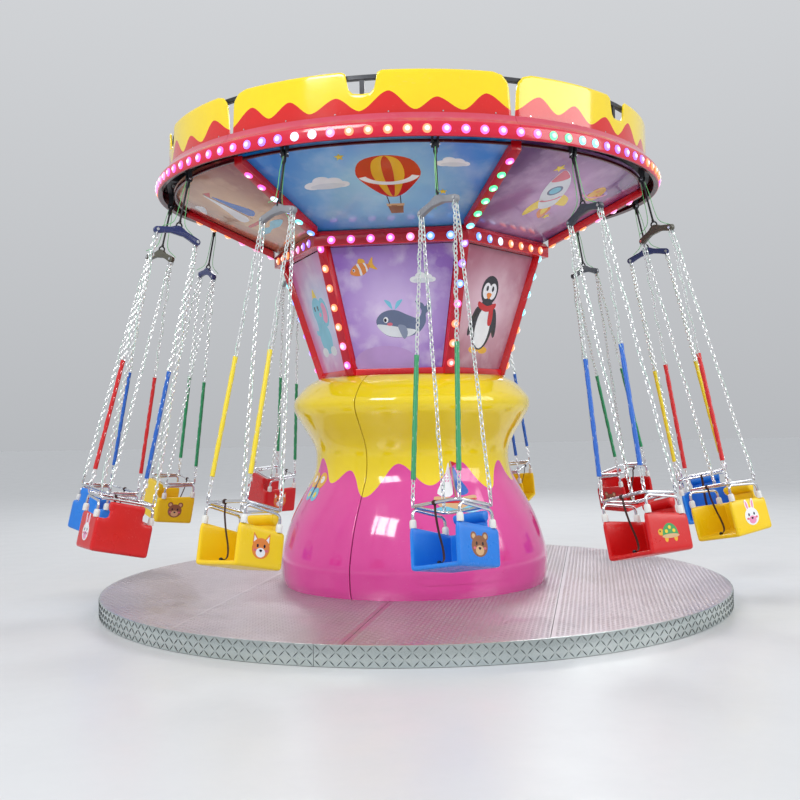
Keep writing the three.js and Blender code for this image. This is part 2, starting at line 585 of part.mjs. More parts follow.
function buildChairs(parent) {
  const seat = seatSolid();
  const rigging = joined(chairRigging());
  const hangerSolid = joined(hanger());
  for (let index = 0; index < CHAIR_COUNT; index += 1) {
    const bearing = bearingOfChair(index);
    const place = new THREE.Group();
    place.position.copy(atBearing(PIN.pitchRadius, bearing, PIN.height));
    place.rotation.z = toRadians(bearing + 90);
    parent.add(place);
    const flung = new THREE.Group();
    flung.rotation.y = toRadians(FLING_ANGLE);
    place.add(flung);

    const label = String(index + 1).padStart(2, '0');
    const sling = hangerSolid.add(rigging.rotate([0, 0, -CHAIR_TWISTS[index]]));
    addPiece(`chair_${label}_sling`, sling, PAINT.chrome, flung);
    const seatPlaced = seat.translate([0, 0, SEAT_BOTTOM]).rotate([0, 0, -CHAIR_TWISTS[index]]);
    addPiece(`chair_${label}_seat`, seatPlaced, PAINT[SEAT_COLOURS[index % SEAT_COLOURS.length]], flung);
  }
}

buildPlatform();
buildPedestal();
buildMast();
buildDrum();
buildCeiling();
buildRimAndRoof();
buildCrown();

const turning = new THREE.Group();
ride.add(turning);
buildCarrier(turning);
buildChairs(turning);

export default ride;
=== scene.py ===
"""The looks of a children's chair swing ride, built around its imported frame.

Metres, +Z up. The front of the ride faces -Y, and a bearing is an angle from the front, in degrees, that
grows towards +X. A chair's own frame has its origin at the hanger pin, x across, y forwards and z up.
"""
import sys

import logging
import math
from collections.abc import Callable, Iterable, Sequence
from dataclasses import dataclass
from enum import Enum

import bmesh
import bpy
import numpy as np
from mathutils import Matrix, Vector
from mathutils.geometry import delaunay_2d_cdt


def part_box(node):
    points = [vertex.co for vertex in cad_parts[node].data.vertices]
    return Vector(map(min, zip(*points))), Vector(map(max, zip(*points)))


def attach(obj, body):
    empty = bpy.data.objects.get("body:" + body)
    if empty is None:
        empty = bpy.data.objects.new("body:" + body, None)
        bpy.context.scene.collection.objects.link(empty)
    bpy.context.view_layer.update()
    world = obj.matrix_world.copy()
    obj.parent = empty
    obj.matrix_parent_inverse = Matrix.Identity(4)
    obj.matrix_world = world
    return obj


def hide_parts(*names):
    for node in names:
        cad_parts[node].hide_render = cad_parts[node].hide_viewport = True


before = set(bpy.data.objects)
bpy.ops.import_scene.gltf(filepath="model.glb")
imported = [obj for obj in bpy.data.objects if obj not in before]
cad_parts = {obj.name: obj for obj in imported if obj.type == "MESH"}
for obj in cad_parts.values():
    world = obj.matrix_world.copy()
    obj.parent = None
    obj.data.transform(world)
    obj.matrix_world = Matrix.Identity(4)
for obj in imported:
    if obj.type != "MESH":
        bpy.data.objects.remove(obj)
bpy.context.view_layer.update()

LOG = logging.getLogger("chair_swing_ride")

Point = tuple[float, float, float]
Flat = tuple[float, float]
Colour = tuple[float, float, float]
Mesh = bpy.types.Mesh
Socket = bpy.types.NodeSocket
Value = float | int | bool | str | tuple | Socket | bpy.types.Material
Given = dict[str, Socket]
Surface = Callable[[float, float, float], Vector]

SIDES = 6
SIDE_NAMES = ("front_right", "back_right", "back", "back_left", "front_left", "front")
CHAIRS = 12
FIRST_CHAIR = 5.4
BOX_CORNER = 22.4
CROWN_SLOT = 21.4
GAP = 0.0003
MERGE = 1e-6
UP = Vector((0, 0, 1))
MADE_MATERIALS: dict[str, bpy.types.Material] = {}


def hue(code: str) -> Colour:
    """Turns a screen colour, written as six hexadecimal digits, into linear light."""
    channels = (int(code[i:i + 2], 16) for i in (0, 2, 4))
    return tuple((v / 255 / 12.92) if v < 11 else ((v / 255 + 0.055) / 1.055) ** 2.4 for v in channels)


def at_bearing(radius: float, bearing: float, height: float) -> Vector:
    """Places a point by its radius, bearing and height."""
    angle = math.radians(bearing)
    return Vector((radius * math.sin(angle), -radius * math.cos(angle), height))


def aside(out: Vector) -> Vector:
    """Returns the level direction square to an outward one, towards growing bearings."""
    return Vector((-out.y, out.x, 0))


def blend(low: float, high: float, share: float) -> float:
    """Returns the value a share of the way from low to high."""
    return low + (high - low) * share


def read_off(table: Sequence[Flat], place: float) -> float:
    """Reads a value off a table of places and values, in straight lines between its rows."""
    return float(np.interp(place, [row[0] for row in table], [row[1] for row in table]))


def swell(table: Sequence[Flat], place: float, ease: float = 1.0) -> float:
    """Reads a height off a table of crests and troughs, with a rounded rise between them.

    Args:
        table: The crests and troughs, as places and heights.
        place: Where to read.
        ease: How round the rise is, from 0 for a straight one to 1.

    Returns:
        The height.
    """
    places = [row[0] for row in table]
    i = max(0, min(len(places) - 2, int(np.searchsorted(places, place) - 1)))
    share = (place - places[i]) / (places[i + 1] - places[i])
    return blend(table[i][1], table[i + 1][1], blend(share, (1 - math.cos(math.pi * share)) / 2, ease))


def smooth_line(points: Sequence[Sequence[float]], steps: int) -> list[tuple[float, ...]]:
    """Draws a smooth line through points.

    Args:
        points: The points, of any number of coordinates.
        steps: Stretches drawn between each two of them.

    Returns:
        The points of the line, its ends included.
    """
    spots = np.array(points, float)
    ends = np.vstack([2 * spots[0] - spots[1], spots, 2 * spots[-1] - spots[-2]])
    line = []
    for i in range(1, len(ends) - 2):
        a, b, c, d = ends[i - 1:i + 3]
        for t in np.arange(steps) / steps:
            line.append(tuple(0.5 * (2 * b + (c - a) * t + (2 * a - 5 * b + 4 * c - d) * t ** 2
                                     + (3 * b - a - 3 * c + d) * t ** 3)))
    line.append(tuple(spots[-1]))
    return line


def rounded_path(corners: Sequence[Point], radius: float, closed: bool = False) -> list[Vector]:
    """Rounds the corners of a path of straight runs, as a bent tube has them.

    Args:
        corners: The path's corner points.
        radius: The distance from a corner at which its bend starts.
        closed: Whether the last corner joins the first.

    Returns:
        The points of the rounded path.
    """
    spots = [Vector(corner) for corner in corners]
    path = []
    for i, spot in enumerate(spots):
        if not closed and i in (0, len(spots) - 1):
            path.append(spot)
            continue
        before = spots[i - 1] - spot
        after = spots[(i + 1) % len(spots)] - spot
        start = spot + before.normalized() * min(radius, before.length / 2)
        stop = spot + after.normalized() * min(radius, after.length / 2)
        for t in np.arange(7) / 6:
            path.append(start.lerp(spot, t).lerp(spot.lerp(stop, t), t))
    return path


def ring_of(count: int) -> np.ndarray:
    """Returns evenly spread angles round a full turn, as a closed wire ring needs them."""
    return np.linspace(0, math.tau, count + 1)[:-1]


def bevel(width: float, segments: int, angle: float) -> list[tuple[str, dict]]:
    """Returns the modifier that rounds the edges that are sharper than an angle in degrees."""
    return [("BEVEL", {"width": width, "segments": segments, "limit_method": "ANGLE",
                       "angle_limit": math.radians(angle)})]


class Skin:
    """The points and faces of a mesh in the making, with a finish number and perhaps an ink for each face."""

    def __init__(self) -> None:
        """Starts with no points."""
        self.points: list[Point] = []
        self.faces: list[tuple[int, ...]] = []
        self.finishes: list[int] = []
        self.inks: list[Colour] = []

    def add(self, points: Iterable, faces: Iterable, finishes: Sequence[int],
            ink: Colour | None = None) -> None:
        """Adds points and faces.

        Args:
            points: The new points.
            faces: Faces as numbers of the new points, from 0.
            finishes: A finish number for each face.
            ink: The printed colour of the faces, where they have one.
        """
        start = len(self.points)
        self.points.extend(tuple(point) for point in points)
        self.faces.extend(tuple(start + i for i in face) for face in faces)
        self.finishes.extend(finishes)
        if ink is not None:
            self.inks.extend([ink] * len(finishes))

    def grid(self, rows: Sequence[Sequence], around: bool = False, over: bool = False, ends: bool = False,
             finishes: Sequence[int] | None = None, finish: int = 0) -> None:
        """Adds a surface of rows of points.

        Args:
            rows: Rows of equal length.
            around: Whether each row's last point joins its first.
            over: Whether the last row joins the first.
            ends: Whether the first and last row are closed by a face each.
            finishes: A finish number for each strip between two rows.
            finish: The finish number where finishes isn't given.
        """
        count, width = len(rows), len(rows[0])
        faces, marks = [], []
        for i in range(count if over else count - 1):
            for j in range(width if around else width - 1):
                k, m = (i + 1) % count, (j + 1) % width
                faces.append((i * width + j, i * width + m, k * width + m, k * width + j))
                marks.append(finishes[i] if finishes else finish)
        if ends:
            faces += [tuple(range(width)), tuple(range((count - 1) * width, count * width))]
            marks += [marks[0], marks[-1]]
        self.add((point for row in rows for point in row), faces, marks)

    def shell(self, outer: Sequence[Sequence], inner: Sequence[Sequence],
              strips: Sequence[int] | None = None) -> None:
        """Adds a closed shell between two sheets of points.

        Args:
            outer: The rows of the outer sheet.
            inner: The rows of the inner sheet.
            strips: A finish number for each strip between two rows.
        """
        start, count, width = len(self.points), len(outer), len(outer[0])
        marks = list(strips or [0] * (count - 1))
        self.grid([*outer, *inner[::-1]], over=True, finishes=[*marks, marks[-1], *marks[::-1], marks[0]])
        for column in (start, start + width - 1):
            for row in range(count - 1):
                places = (row, row + 1, 2 * count - 2 - row, 2 * count - 1 - row)
                self.faces.append(tuple(place * width + column for place in places))
                self.finishes.append(marks[row])

    def turned(self, outline: Sequence[Flat], steps: int, finish: int = 0, centre: Point = (0, 0, 0),
               span: Flat = (0, 360), finishes: Sequence[int] | None = None, closed: bool = True) -> None:
        """Turns an outline of radius and height round the upright axis through a centre.

        Args:
            outline: The outline's points.
            steps: Stretches round the turn.
            finish: The finish number of its faces.
            centre: The foot of the axis.
            span: The bearings that it starts and stops at. A part turn gets its two ends closed.
            finishes: A finish number for each stretch of the outline.
            closed: Whether the outline's last point joins its first.
        """
        whole = abs(span[1] - span[0] - 360) < MERGE
        bearings = np.linspace(span[0], span[1], steps + 1)[:steps if whole else steps + 1]
        rows = [[Vector(centre) + at_bearing(r, bearing, z) for bearing in bearings] for r, z in outline]
        start = len(self.points)
        self.grid(rows, around=whole, over=closed, finishes=finishes, finish=finish)
        if not whole:
            for column in (0, len(bearings) - 1):
                self.faces.append(tuple(start + i * len(bearings) + column for i in range(len(outline))))
                self.finishes.append(finish)

    def tube(self, path: Sequence, radius: float | Sequence[float], sides: int = 8, finish: int = 0,
             closed: bool = False, flat: float = 1.0) -> None:
        """Adds a tube along a path.

        Args:
            path: The points that it follows.
            radius: One radius, or one for each point.
            sides: The number of its sides.
            finish: The finish number of its faces.
            closed: Whether its end joins its start.
            flat: How far its section is pressed flat, where a strap isn't round.
        """
        spots = [Vector(point) for point in path]
        count = len(spots)
        radii = [radius] * count if isinstance(radius, (int, float)) else radius
        across = None
        rows = []
        for i, spot in enumerate(spots):
            if closed:
                along = (spots[(i + 1) % count] - spots[i - 1]).normalized()
            else:
                along = (spots[min(i + 1, count - 1)] - spots[max(i - 1, 0)]).normalized()
            if across is None:
                across = along.orthogonal().normalized() if abs(along.x) > 0.9 else Vector((1, 0, 0))
            across = (across - along * across.dot(along)).normalized()
            other = along.cross(across)
            rows.append([spot + (across * math.cos(a) + other * math.sin(a) * flat) * radii[i]
                         for a in np.arange(sides) * math.tau / sides])
        self.grid(rows, around=True, over=closed, ends=not closed, finish=finish)

    def plate(self, outline: Sequence[Flat], thickness: float, place: Surface, finish: int = 0,
              front: int | None = None) -> None:
        """Adds a flat plate.

        Args:
            outline: The plate's outline.
            thickness: Its thickness, half on each side of the outline's plane.
            place: Turns the outline's two coordinates and a distance off its plane into a point.
            finish: The finish number of its faces.
            front: The place in the outline of the one edge that has finish number 1.
        """
        count = len(outline)
        faces = [tuple(range(count)), tuple(range(count, 2 * count))]
        faces += [(i, (i + 1) % count, count + (i + 1) % count, count + i) for i in range(count)]
        marks = [finish, finish] + [1 if i == front else finish for i in range(count)]
        self.add([place(u, v, side * thickness / 2) for side in (-1, 1) for u, v in outline], faces, marks)

    def moved(self, matrix: Matrix) -> "Skin":
        """Returns a copy of the skin, moved by a matrix."""
        copy = Skin()
        copy.take(self)
        copy.points = [tuple(matrix @ Vector(point)) for point in self.points]
        return copy

    def take(self, other: "Skin") -> None:
        """Adds all of another skin."""
        self.add(other.points, other.faces, other.finishes)
        self.inks.extend(other.inks)

    def mesh(self, name: str, finishes: Sequence["Finish"], smooth: float = 35.0,
             modifiers: Sequence[tuple[str, dict]] = ()) -> Mesh:
        """Makes the mesh, with its doubles merged and its faces pointing outwards.

        Args:
            name: The mesh's name.
            finishes: The finishes that the finish numbers mean.
            smooth: The angle, in degrees, past which an edge stays sharp.
            modifiers: Kinds and settings of modifiers to apply.

        Returns:
            The finished mesh.
        """
        data = bpy.data.meshes.new(name)
        data.from_pydata(self.points, [], self.faces)
        data.polygons.foreach_set("material_index", self.finishes)
        if self.inks:
            layer = data.attributes.new("print_colour", "FLOAT_COLOR", "CORNER")
            corners = [(*ink, 1.0) for face, ink in zip(self.faces, self.inks) for _ in face]
            layer.data.foreach_set("color", np.array(corners, np.float32).ravel())
        shape = bmesh.new()
        shape.from_mesh(data)
        bmesh.ops.remove_doubles(shape, verts=shape.verts, dist=MERGE)
        bmesh.ops.dissolve_degenerate(shape, edges=shape.edges, dist=MERGE)
        bmesh.ops.recalc_face_normals(shape, faces=shape.faces)
        shape.to_mesh(data)
        shape.free()
        for finish in finishes:
            data.materials.append(finish.material())
        if modifiers:
            carrier = link_object(name, data)
            for kind, settings in modifiers:
                modifier = carrier.modifiers.new(kind.lower(), kind)
                for setting, value in settings.items():
                    setattr(modifier, setting, value)
            data = evaluated_mesh(carrier)
        return shaded(data, smooth)


def link_object(name: str, data: bpy.types.ID) -> bpy.types.Object:
    """Makes an object of a mesh, a light or a camera, and puts it into the scene."""
    item = bpy.data.objects.new(name, data)
    bpy.context.scene.collection.objects.link(item)
    return item


def shaded(data: Mesh, smooth: float) -> Mesh:
    """Shades a mesh smooth, but for edges past an angle in degrees, and returns it."""
    data.shade_smooth()
    data.set_sharp_from_angle(angle=math.radians(smooth))
    return data


def evaluated_mesh(carrier: bpy.types.Object) -> Mesh:
    """Turns an object with modifiers into a plain mesh, and removes the object."""
    bpy.context.view_layer.update()
    graph = bpy.context.evaluated_depsgraph_get()
    data = bpy.data.meshes.new_from_object(carrier.evaluated_get(graph))
    old = carrier.data
    bpy.data.objects.remove(carrier)
    bpy.data.meshes.remove(old)
    return data


def merged(name: str, parts: Sequence[tuple[Mesh, Matrix]]) -> Mesh:
    """Joins copies of meshes, each moved by its matrix, into one mesh with the materials of all of them."""
    data = bpy.data.meshes.new(name)
    shape = bmesh.new()
    for part, matrix in parts:
        copy = part.copy()
        copy.transform(matrix)
        first = len(shape.faces)
        shape.from_mesh(copy)
        shape.faces.ensure_lookup_table()
        for face in shape.faces[first:]:
            face.material_index += len(data.materials)
        for material in part.materials:
            data.materials.append(material)
        bpy.data.meshes.remove(copy)
    shape.to_mesh(data)
    shape.free()
    return data


def install(name: str, data: Mesh, body: str, slot: str, *replaces: str) -> None:
    """Puts a finished mesh into the scene as a piece that rides on a body.

    Args:
        name: The piece's name.
        data: Its mesh, in the ride's frame.
        body: The body that it moves with.
        slot: The name of a material slot; not used.
        *replaces: The nodes that it stands for.
    """
    data.name = name
    piece = link_object(name, data)
    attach(piece, body)
    if replaces:
        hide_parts(*replaces)
    LOG.info("%s: %d faces on %s", name, len(data.polygons), body)


def dress(node: str, finish: "Finish") -> None:
    """Puts a finish on a solid that the scene keeps."""
    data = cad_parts[node].data
    data.materials.clear()
    data.materials.append(finish.material())


class Graph:
    """A node tree that is being wired, with short ways to add its nodes."""

    def __init__(self, tree: bpy.types.NodeTree) -> None:
        """Keeps the tree to wire."""
        self.tree = tree

    def add(self, kind: str, inputs: dict[str | int, Value] | None = None,
            **settings: object) -> bpy.types.Node:
        """Adds a node.

        Args:
            kind: The node's type.
            inputs: Values or sockets for its inputs, by name or number.
            **settings: The node's own settings.

        Returns:
            The node.
        """
        node = self.tree.nodes.new(kind)
        for name, value in settings.items():
            setattr(node, name, value)
        for name, value in (inputs or {}).items():
            self.feed(node.inputs[name], value)
        return node

    def feed(self, socket: Socket, value: Value) -> None:
        """Links a socket to an input, or sets the input's value."""
        if isinstance(value, Socket):
            self.tree.links.new(value, socket)
        elif socket.type == "RGBA" and len(value) == 3:
            socket.default_value = (*value, 1.0)
        else:
            socket.default_value = value

    def result(self, kind: str, inputs: dict[str | int, Value] | None = None, **settings: object) -> Socket:
        """Adds a node and returns its first output."""
        return self.add(kind, inputs, **settings).outputs[0]

    def times(self, first: Value, second: Value, clamp: bool = False) -> Socket:
        """Multiplies two values."""
        return self.result("ShaderNodeMath", {0: first, 1: second}, operation="MULTIPLY", use_clamp=clamp)

    def plus(self, first: Value, second: Value, clamp: bool = False) -> Socket:
        """Adds two values."""
        return self.result("ShaderNodeMath", {0: first, 1: second}, operation="ADD", use_clamp=clamp)

    def mix(self, share: Value, first: Value, second: Value) -> Socket:
        """Mixes two colours by a share, and returns the colour."""
        return self.add("ShaderNodeMix", {0: share, 6: first, 7: second}, data_type="RGBA").outputs[2]

    def spread(self, value: Value, low: float, high: float, to_low: Value = 0.0,
               to_high: Value = 1.0) -> Socket:
        """Maps a range of values onto another."""
        return self.result("ShaderNodeMapRange", {0: value, 1: low, 2: high, 3: to_low, 4: to_high})

    def noise(self, place: Value, scale: Value, detail: float = 2.0) -> Socket:
        """Adds a Noise Texture and returns its value."""
        return self.result("ShaderNodeTexNoise", {"Vector": place, "Scale": scale, "Detail": detail})

    def attribute(self, name: str, output: str = "Color") -> Socket:
        """Reads an attribute of the mesh."""
        return self.add("ShaderNodeAttribute", attribute_name=name).outputs[output]


class Effects:
    """Shader node groups that several finishes share, each built once by the method of its name."""

    KINDS = {"Place": "Vector", "Colour": "Color", "Lean": "Color"}

    @classmethod
    def use(cls, graph: Graph, name: str, **inputs: Value) -> Socket:
        """Places a group in a material.

        Args:
            graph: The material's graph.
            name: The group's name.
            **inputs: Values or sockets for its inputs.

        Returns:
            The group's output socket.
        """
        if name not in bpy.data.node_groups:
            tree = bpy.data.node_groups.new(name, "ShaderNodeTree")
            for label in inputs:
                kind = cls.KINDS.get(label, "Float")
                tree.interface.new_socket(name=label, in_out="INPUT", socket_type=f"NodeSocket{kind}")
            inner = Graph(tree)
            entry = inner.add("NodeGroupInput")
            result = getattr(cls, name)(inner, {label: entry.outputs[label] for label in inputs})
            kind = "Color" if result.type == "RGBA" else "Float"
            tree.interface.new_socket(name="Result", in_out="OUTPUT", socket_type=f"NodeSocket{kind}")
            inner.add("NodeGroupOutput", {0: result})
        return graph.result("ShaderNodeGroup", inputs, node_tree=bpy.data.node_groups[name])

    @staticmethod
    def tone_drift(graph: Graph, given: Given) -> Socket:
        """Lets a colour lean to another in broad and small patches."""
        broad = graph.noise(given["Place"], given["Scale"])
        small = graph.noise(given["Place"], graph.times(given["Scale"], 9.0), 4.0)
        patches = graph.plus(graph.times(broad, 0.65), graph.times(small, 0.35))
        share = graph.times(graph.spread(patches, 0.36, 0.64), given["Share"])
        return graph.mix(share, given["Colour"], given["Lean"])

    @staticmethod
    def gloss_drift(graph: Graph, given: Given) -> Socket:
        """Varies roughness between a low and a high value."""
        smears = graph.noise(given["Place"], given["Scale"], 5.0)
        return graph.spread(smears, 0.35, 0.68, given["Low"], given["High"])

    @staticmethod
    def fine_relief(graph: Graph, given: Given) -> Socket:
        """Lays fine grain over slow waves."""
        grain = graph.noise(given["Place"], given["Scale"])
        waves = graph.noise(given["Place"], graph.times(given["Scale"], 0.04))
        return graph.plus(grain, graph.times(waves, given["Waves"]))

    @staticmethod
    def scuffs(graph: Graph, given: Given) -> Socket:
        """Masks sparse scuffs and hairline scratches."""
        turned = graph.result("ShaderNodeMapping", {"Vector": given["Place"], "Rotation": (0.4, 0.9, 0.3),
                                                    "Scale": (1.0, 14.0, 3.0)})
        hairs = graph.noise(turned, given["Scale"], 3.0)
        where = graph.noise(given["Place"], graph.times(given["Scale"], 0.3))
        lines = graph.times(graph.spread(hairs, 0.62, 0.7), graph.spread(where, 0.48, 0.62))
        return graph.times(lines, given["Amount"], clamp=True)

    @staticmethod
    def settled_dust(graph: Graph, given: Given) -> Socket:
        """Masks dust on faces that look up."""
        normal = graph.add("ShaderNodeNewGeometry").outputs["Normal"]
        upward = graph.spread(graph.add("ShaderNodeSeparateXYZ", {0: normal}).outputs[2], 0.2, 1.0)
        specks = graph.spread(graph.noise(given["Place"], 14.0, 6.0), 0.35, 0.7)
        return graph.times(graph.times(upward, specks), given["Amount"], clamp=True)


@dataclass(frozen=True)
class Finish:
    """A surface finish: its colours, gloss and relief, with scuffs and dust at the real scale."""

    name: str
    colour: Colour
    lean: Colour
    gloss: Flat
    relief: float
    share: float = 0.35
    patches: float = 2.5
    metallic: float = 0.0
    coat: float = 0.0
    grain: float = 320.0
    waves: float = 0.0
    scuffs: float = 0.15
    scuff_colour: Colour = (0.6, 0.6, 0.6)
    dust: float = 0.12
    glow: float = 0.0

    def colouring(self, graph: Graph, place: Socket) -> Socket:
        """Returns the colour that the surface has before scuffs and dust."""
        return Effects.use(graph, "tone_drift", Place=place, Colour=self.colour, Lean=self.lean,
                           Scale=self.patches, Share=self.share)

    def relief_height(self, graph: Graph, place: Socket) -> Socket:
        """Returns the height that the Bump node reads."""
        return Effects.use(graph, "fine_relief", Place=place, Scale=self.grain, Waves=self.waves)

    def glow_colour(self, graph: Graph) -> Value:
        """Returns the colour of the light that the surface gives off."""
        return self.colour

    def material(self) -> bpy.types.Material:
        """Builds the node material, or returns it where it is built already.

        Returns:
            The finish's material.
        """
        if self.name in MADE_MATERIALS:
            return MADE_MATERIALS[self.name]
        material = bpy.data.materials.new(self.name)
        material.use_nodes = True
        material.node_tree.nodes.clear()
        graph = Graph(material.node_tree)
        place = graph.add("ShaderNodeTexCoord").outputs["Object"]
        scuffs = Effects.use(graph, "scuffs", Place=place, Scale=26.0, Amount=self.scuffs)
        dust = Effects.use(graph, "settled_dust", Place=place, Amount=self.dust)
        colour = graph.mix(dust, graph.mix(scuffs, self.colouring(graph, place), self.scuff_colour), DUST)
        low, high = self.gloss
        rough = Effects.use(graph, "gloss_drift", Place=place, Scale=5.0, Low=low, High=high)
        bump = graph.result("ShaderNodeBump", {"Strength": self.relief, "Distance": 0.001,
                                               "Height": self.relief_height(graph, place)})
        shader = graph.add("ShaderNodeBsdfPrincipled", {
            "Base Color": colour, "Roughness": graph.plus(rough, graph.times(dust, 0.5), clamp=True),
            "Metallic": self.metallic, "Coat Weight": self.coat, "Coat Roughness": 0.04, "Normal": bump})
        if self.glow:
            graph.feed(shader.inputs["Emission Color"], self.glow_colour(graph))
            shader.inputs["Emission Strength"].default_value = self.glow
        graph.add("ShaderNodeOutputMaterial", {"Surface": shader.outputs[0]})
        MADE_MATERIALS[self.name] = material
        return material


@dataclass(frozen=True)
class PrintedInk(Finish):
    """Ink on laminate: each printed shape has its own colour in the mesh."""

    def colouring(self, graph: Graph, place: Socket) -> Socket:
        """Returns the print's own colour, a little uneven."""
        ink = graph.attribute("print_colour")
        shade = graph.mix(0.35, ink, (0.02, 0.02, 0.03))
        return graph.mix(graph.spread(graph.noise(place, 7.0, 3.0), 0.3, 0.75, 0.0, 0.45), ink, shade)


@dataclass(frozen=True)
class PrintedGround(Finish):
    """The ground of a printed board: a pale glow at its centre, a deep edge and soft clouds."""

    centre: Point = (0, 0, 0)
    reach: float = 0.5
    cloud: Colour = (1, 1, 1)
    cloudiness: float = 0.4

    def colouring(self, graph: Graph, place: Socket) -> Socket:
        """Returns the ground's colour by its distance from the centre, with clouds."""
        offset = graph.result("ShaderNodeVectorMath", {0: place, 1: self.centre}, operation="SUBTRACT")
        distance = graph.add("ShaderNodeVectorMath", {0: offset}, operation="LENGTH").outputs["Value"]
        wander = graph.spread(graph.noise(place, 4.0, 3.0), 0.0, 1.0, -0.12, 0.12)
        share = graph.spread(graph.plus(distance, wander), 0.08, self.reach)
        clouds = graph.spread(graph.noise(place, 5.5, 6.0), 0.5, 0.72, 0.0, self.cloudiness)
        return graph.mix(clouds, graph.mix(share, self.lean, self.colour), self.cloud)


@dataclass(frozen=True)
class LampGlass(Finish):
    """A lit lamp dome: white at its top and its own colour towards its foot."""

    def glow_colour(self, graph: Graph) -> Value:
        """Returns the lamp's light, paler where the dome is highest."""
        core = graph.spread(graph.attribute("core", "Fac"), 0.5, 1.0, 0.0, 0.75)
        return graph.mix(core, graph.attribute("lamp_colour"), (1.0, 1.0, 1.0))


@dataclass(frozen=True)
class WovenStrap(Finish):
    """Webbing with a woven relief."""

    def relief_height(self, graph: Graph, place: Socket) -> Socket:
        """Returns crossed ribs, as woven tape has them."""
        given = {"Vector": place, "Scale": 260.0}
        ribs = [graph.add("ShaderNodeTexWave", given, bands_direction=way).outputs[1] for way in "XZ"]
        return graph.times(*ribs)


DUST = hue("b0aaa0")
WHITE = (0.9, 0.9, 0.9)
STEEL_SCUFF = hue("969698")
CHROME_SCUFF = hue("96928c")
PLATE = {"relief": 0.12, "grain": 500.0, "scuffs": 0.4, "dust": 0.1}
GELCOAT = {"patches": 1.4, "gloss": (0.07, 0.15), "coat": 0.6, "relief": 0.03, "grain": 90.0, "waves": 6.0,
           "scuffs": 0.06, "dust": 0.05}
MOULDING = {"gloss": (0.08, 0.16), "coat": 0.5, "relief": 0.03, "grain": 80.0, "waves": 5.0, "scuffs": 0.05}
SHEATH = {"patches": 9.0, "gloss": (0.18, 0.32), "coat": 0.5, "relief": 0.05, "scuffs": 0.05}
PLASTIC = {"relief": 0.14, "grain": 420.0, "waves": 1.5, "scuffs": 0.3, "dust": 0.06}
CHIPPED = {"relief": 0.1, "scuffs": 0.6}
SOFT = {"gloss": (0.35, 0.5), "relief": 0.2}
BOARD = {"gloss": (0.12, 0.24), "coat": 0.35, "relief": 0.04, "grain": 60.0, "waves": 4.0, "scuffs": 0.06,
         "dust": 0.05}

# The deck's aluminium grey is its own; the pink tint in it and in its patches is a painted reflection of the
# pink pedestal.
TREAD_WITH_PINK_REFLECTION = Finish("tread_plate_aluminium_pink_reflection", hue("ccc4ca"), hue("b2a8b0"), (0.3, 0.44), metallic=0.9,
               scuff_colour=hue("e1e1e4"), **PLATE)
BAND_PLATE = Finish("edge_band_aluminium", hue("d0d8d6"), hue("acb8b6"), (0.16, 0.3), metallic=1.0,
                    scuff_colour=hue("c8cece"), **PLATE)
# The band's ribs are the same aluminium as its plate; their dark grey is painted shade, so that the lozenges
# read as dark lines.
BAND_RIB_SHADE = Finish("edge_band_ribs_painted_shade", hue("5c6262"), hue("464c4c"), (0.3, 0.45), 0.05, metallic=1.0,
                  scuffs=0.3, scuff_colour=WHITE, dust=0.0)
DARK_STEEL = Finish("dark_painted_steel", hue("34363c"), hue("222226"), (0.35, 0.6), 0.2, metallic=0.3,
                    scuffs=0.4, scuff_colour=STEEL_SCUFF, dust=0.3)
PINK_SHELL = Finish("pink_gelcoat", hue("e2469e"), hue("d43492"), **GELCOAT)
YELLOW_SHELL = Finish("yellow_gelcoat", hue("f3d816"), hue("e8c610"), **GELCOAT)
BOX_RED = Finish("lamp_box_red", hue("de1622"), hue("c40e1c"), (0.14, 0.26), 0.05, coat=0.4, grain=160.0,
                 dust=0.08)
BOX_FACE = Finish("lamp_face_red", hue("ba0e28"), hue("a00822"), (0.2, 0.34), 0.06, scuffs=0.08)
CROWN_YELLOW = Finish("crown_yellow", hue("f6da10"), hue("ecc80a"), dust=0.08, **MOULDING)
CROWN_RED = Finish("crown_wave_red", hue("d81a16"), hue("c40e10"), dust=0.04, **MOULDING)
COVE_PINK = Finish("cove_dusty_pink", hue("cc3e58"), hue("ba2e4c"), (0.1, 0.2), 0.03, coat=0.5, grain=80.0,
                   waves=4.0, scuffs=0.08)
BAND_RED = Finish("lamp_band_red", hue("d61438"), hue("be0c2e"), (0.12, 0.22), 0.04, coat=0.3, scuffs=0.06)
# A dark copy of the rim's red: painted shade on the rim's underside and inner faces and on the ceiling hoop.
SOFFIT_SHADE = Finish("soffit_maroon_painted_shade", hue("540a18"), hue("3a0610"), (0.12, 0.24), 0.06)
ROOF_GREY = Finish("roof_grey", hue("b2b6bc"), hue("a0a2a8"), (0.35, 0.5), 0.15, grain=120.0, waves=3.0,
                   dust=0.4)
CHROME = Finish("bright_chrome", hue("d8dade"), hue("c4c6cc"), (0.07, 0.16), 0.03, metallic=1.0, scuffs=0.2,
                scuff_colour=CHROME_SCUFF, dust=0.03)
CHAIN_STEEL = Finish("plated_chain", hue("eef0f0"), hue("d4d8d6"), (0.24, 0.4), 0.08, patches=12.0,
                     metallic=0.8, scuffs=0.2, scuff_colour=hue("96948e"), dust=0.03)
BLACK_STEEL = Finish("black_steel", hue("1e1f22"), hue("303034"), (0.3, 0.5), 0.15, metallic=0.4, scuffs=0.5,
                     scuff_colour=STEEL_SCUFF)
FERRULE_WHITE = Finish("white_ferrule", hue("e4e4e0"), hue("ccccc8"), (0.25, 0.4), 0.1)
STRAP_BROWN = WovenStrap("brown_webbing", hue("42221a"), hue("2e1814"), (0.6, 0.8), 0.6, scuffs=0.1)
WIRE_GREEN = Finish("green_sheath", hue("60be6e"), hue("96d696"), **SHEATH)
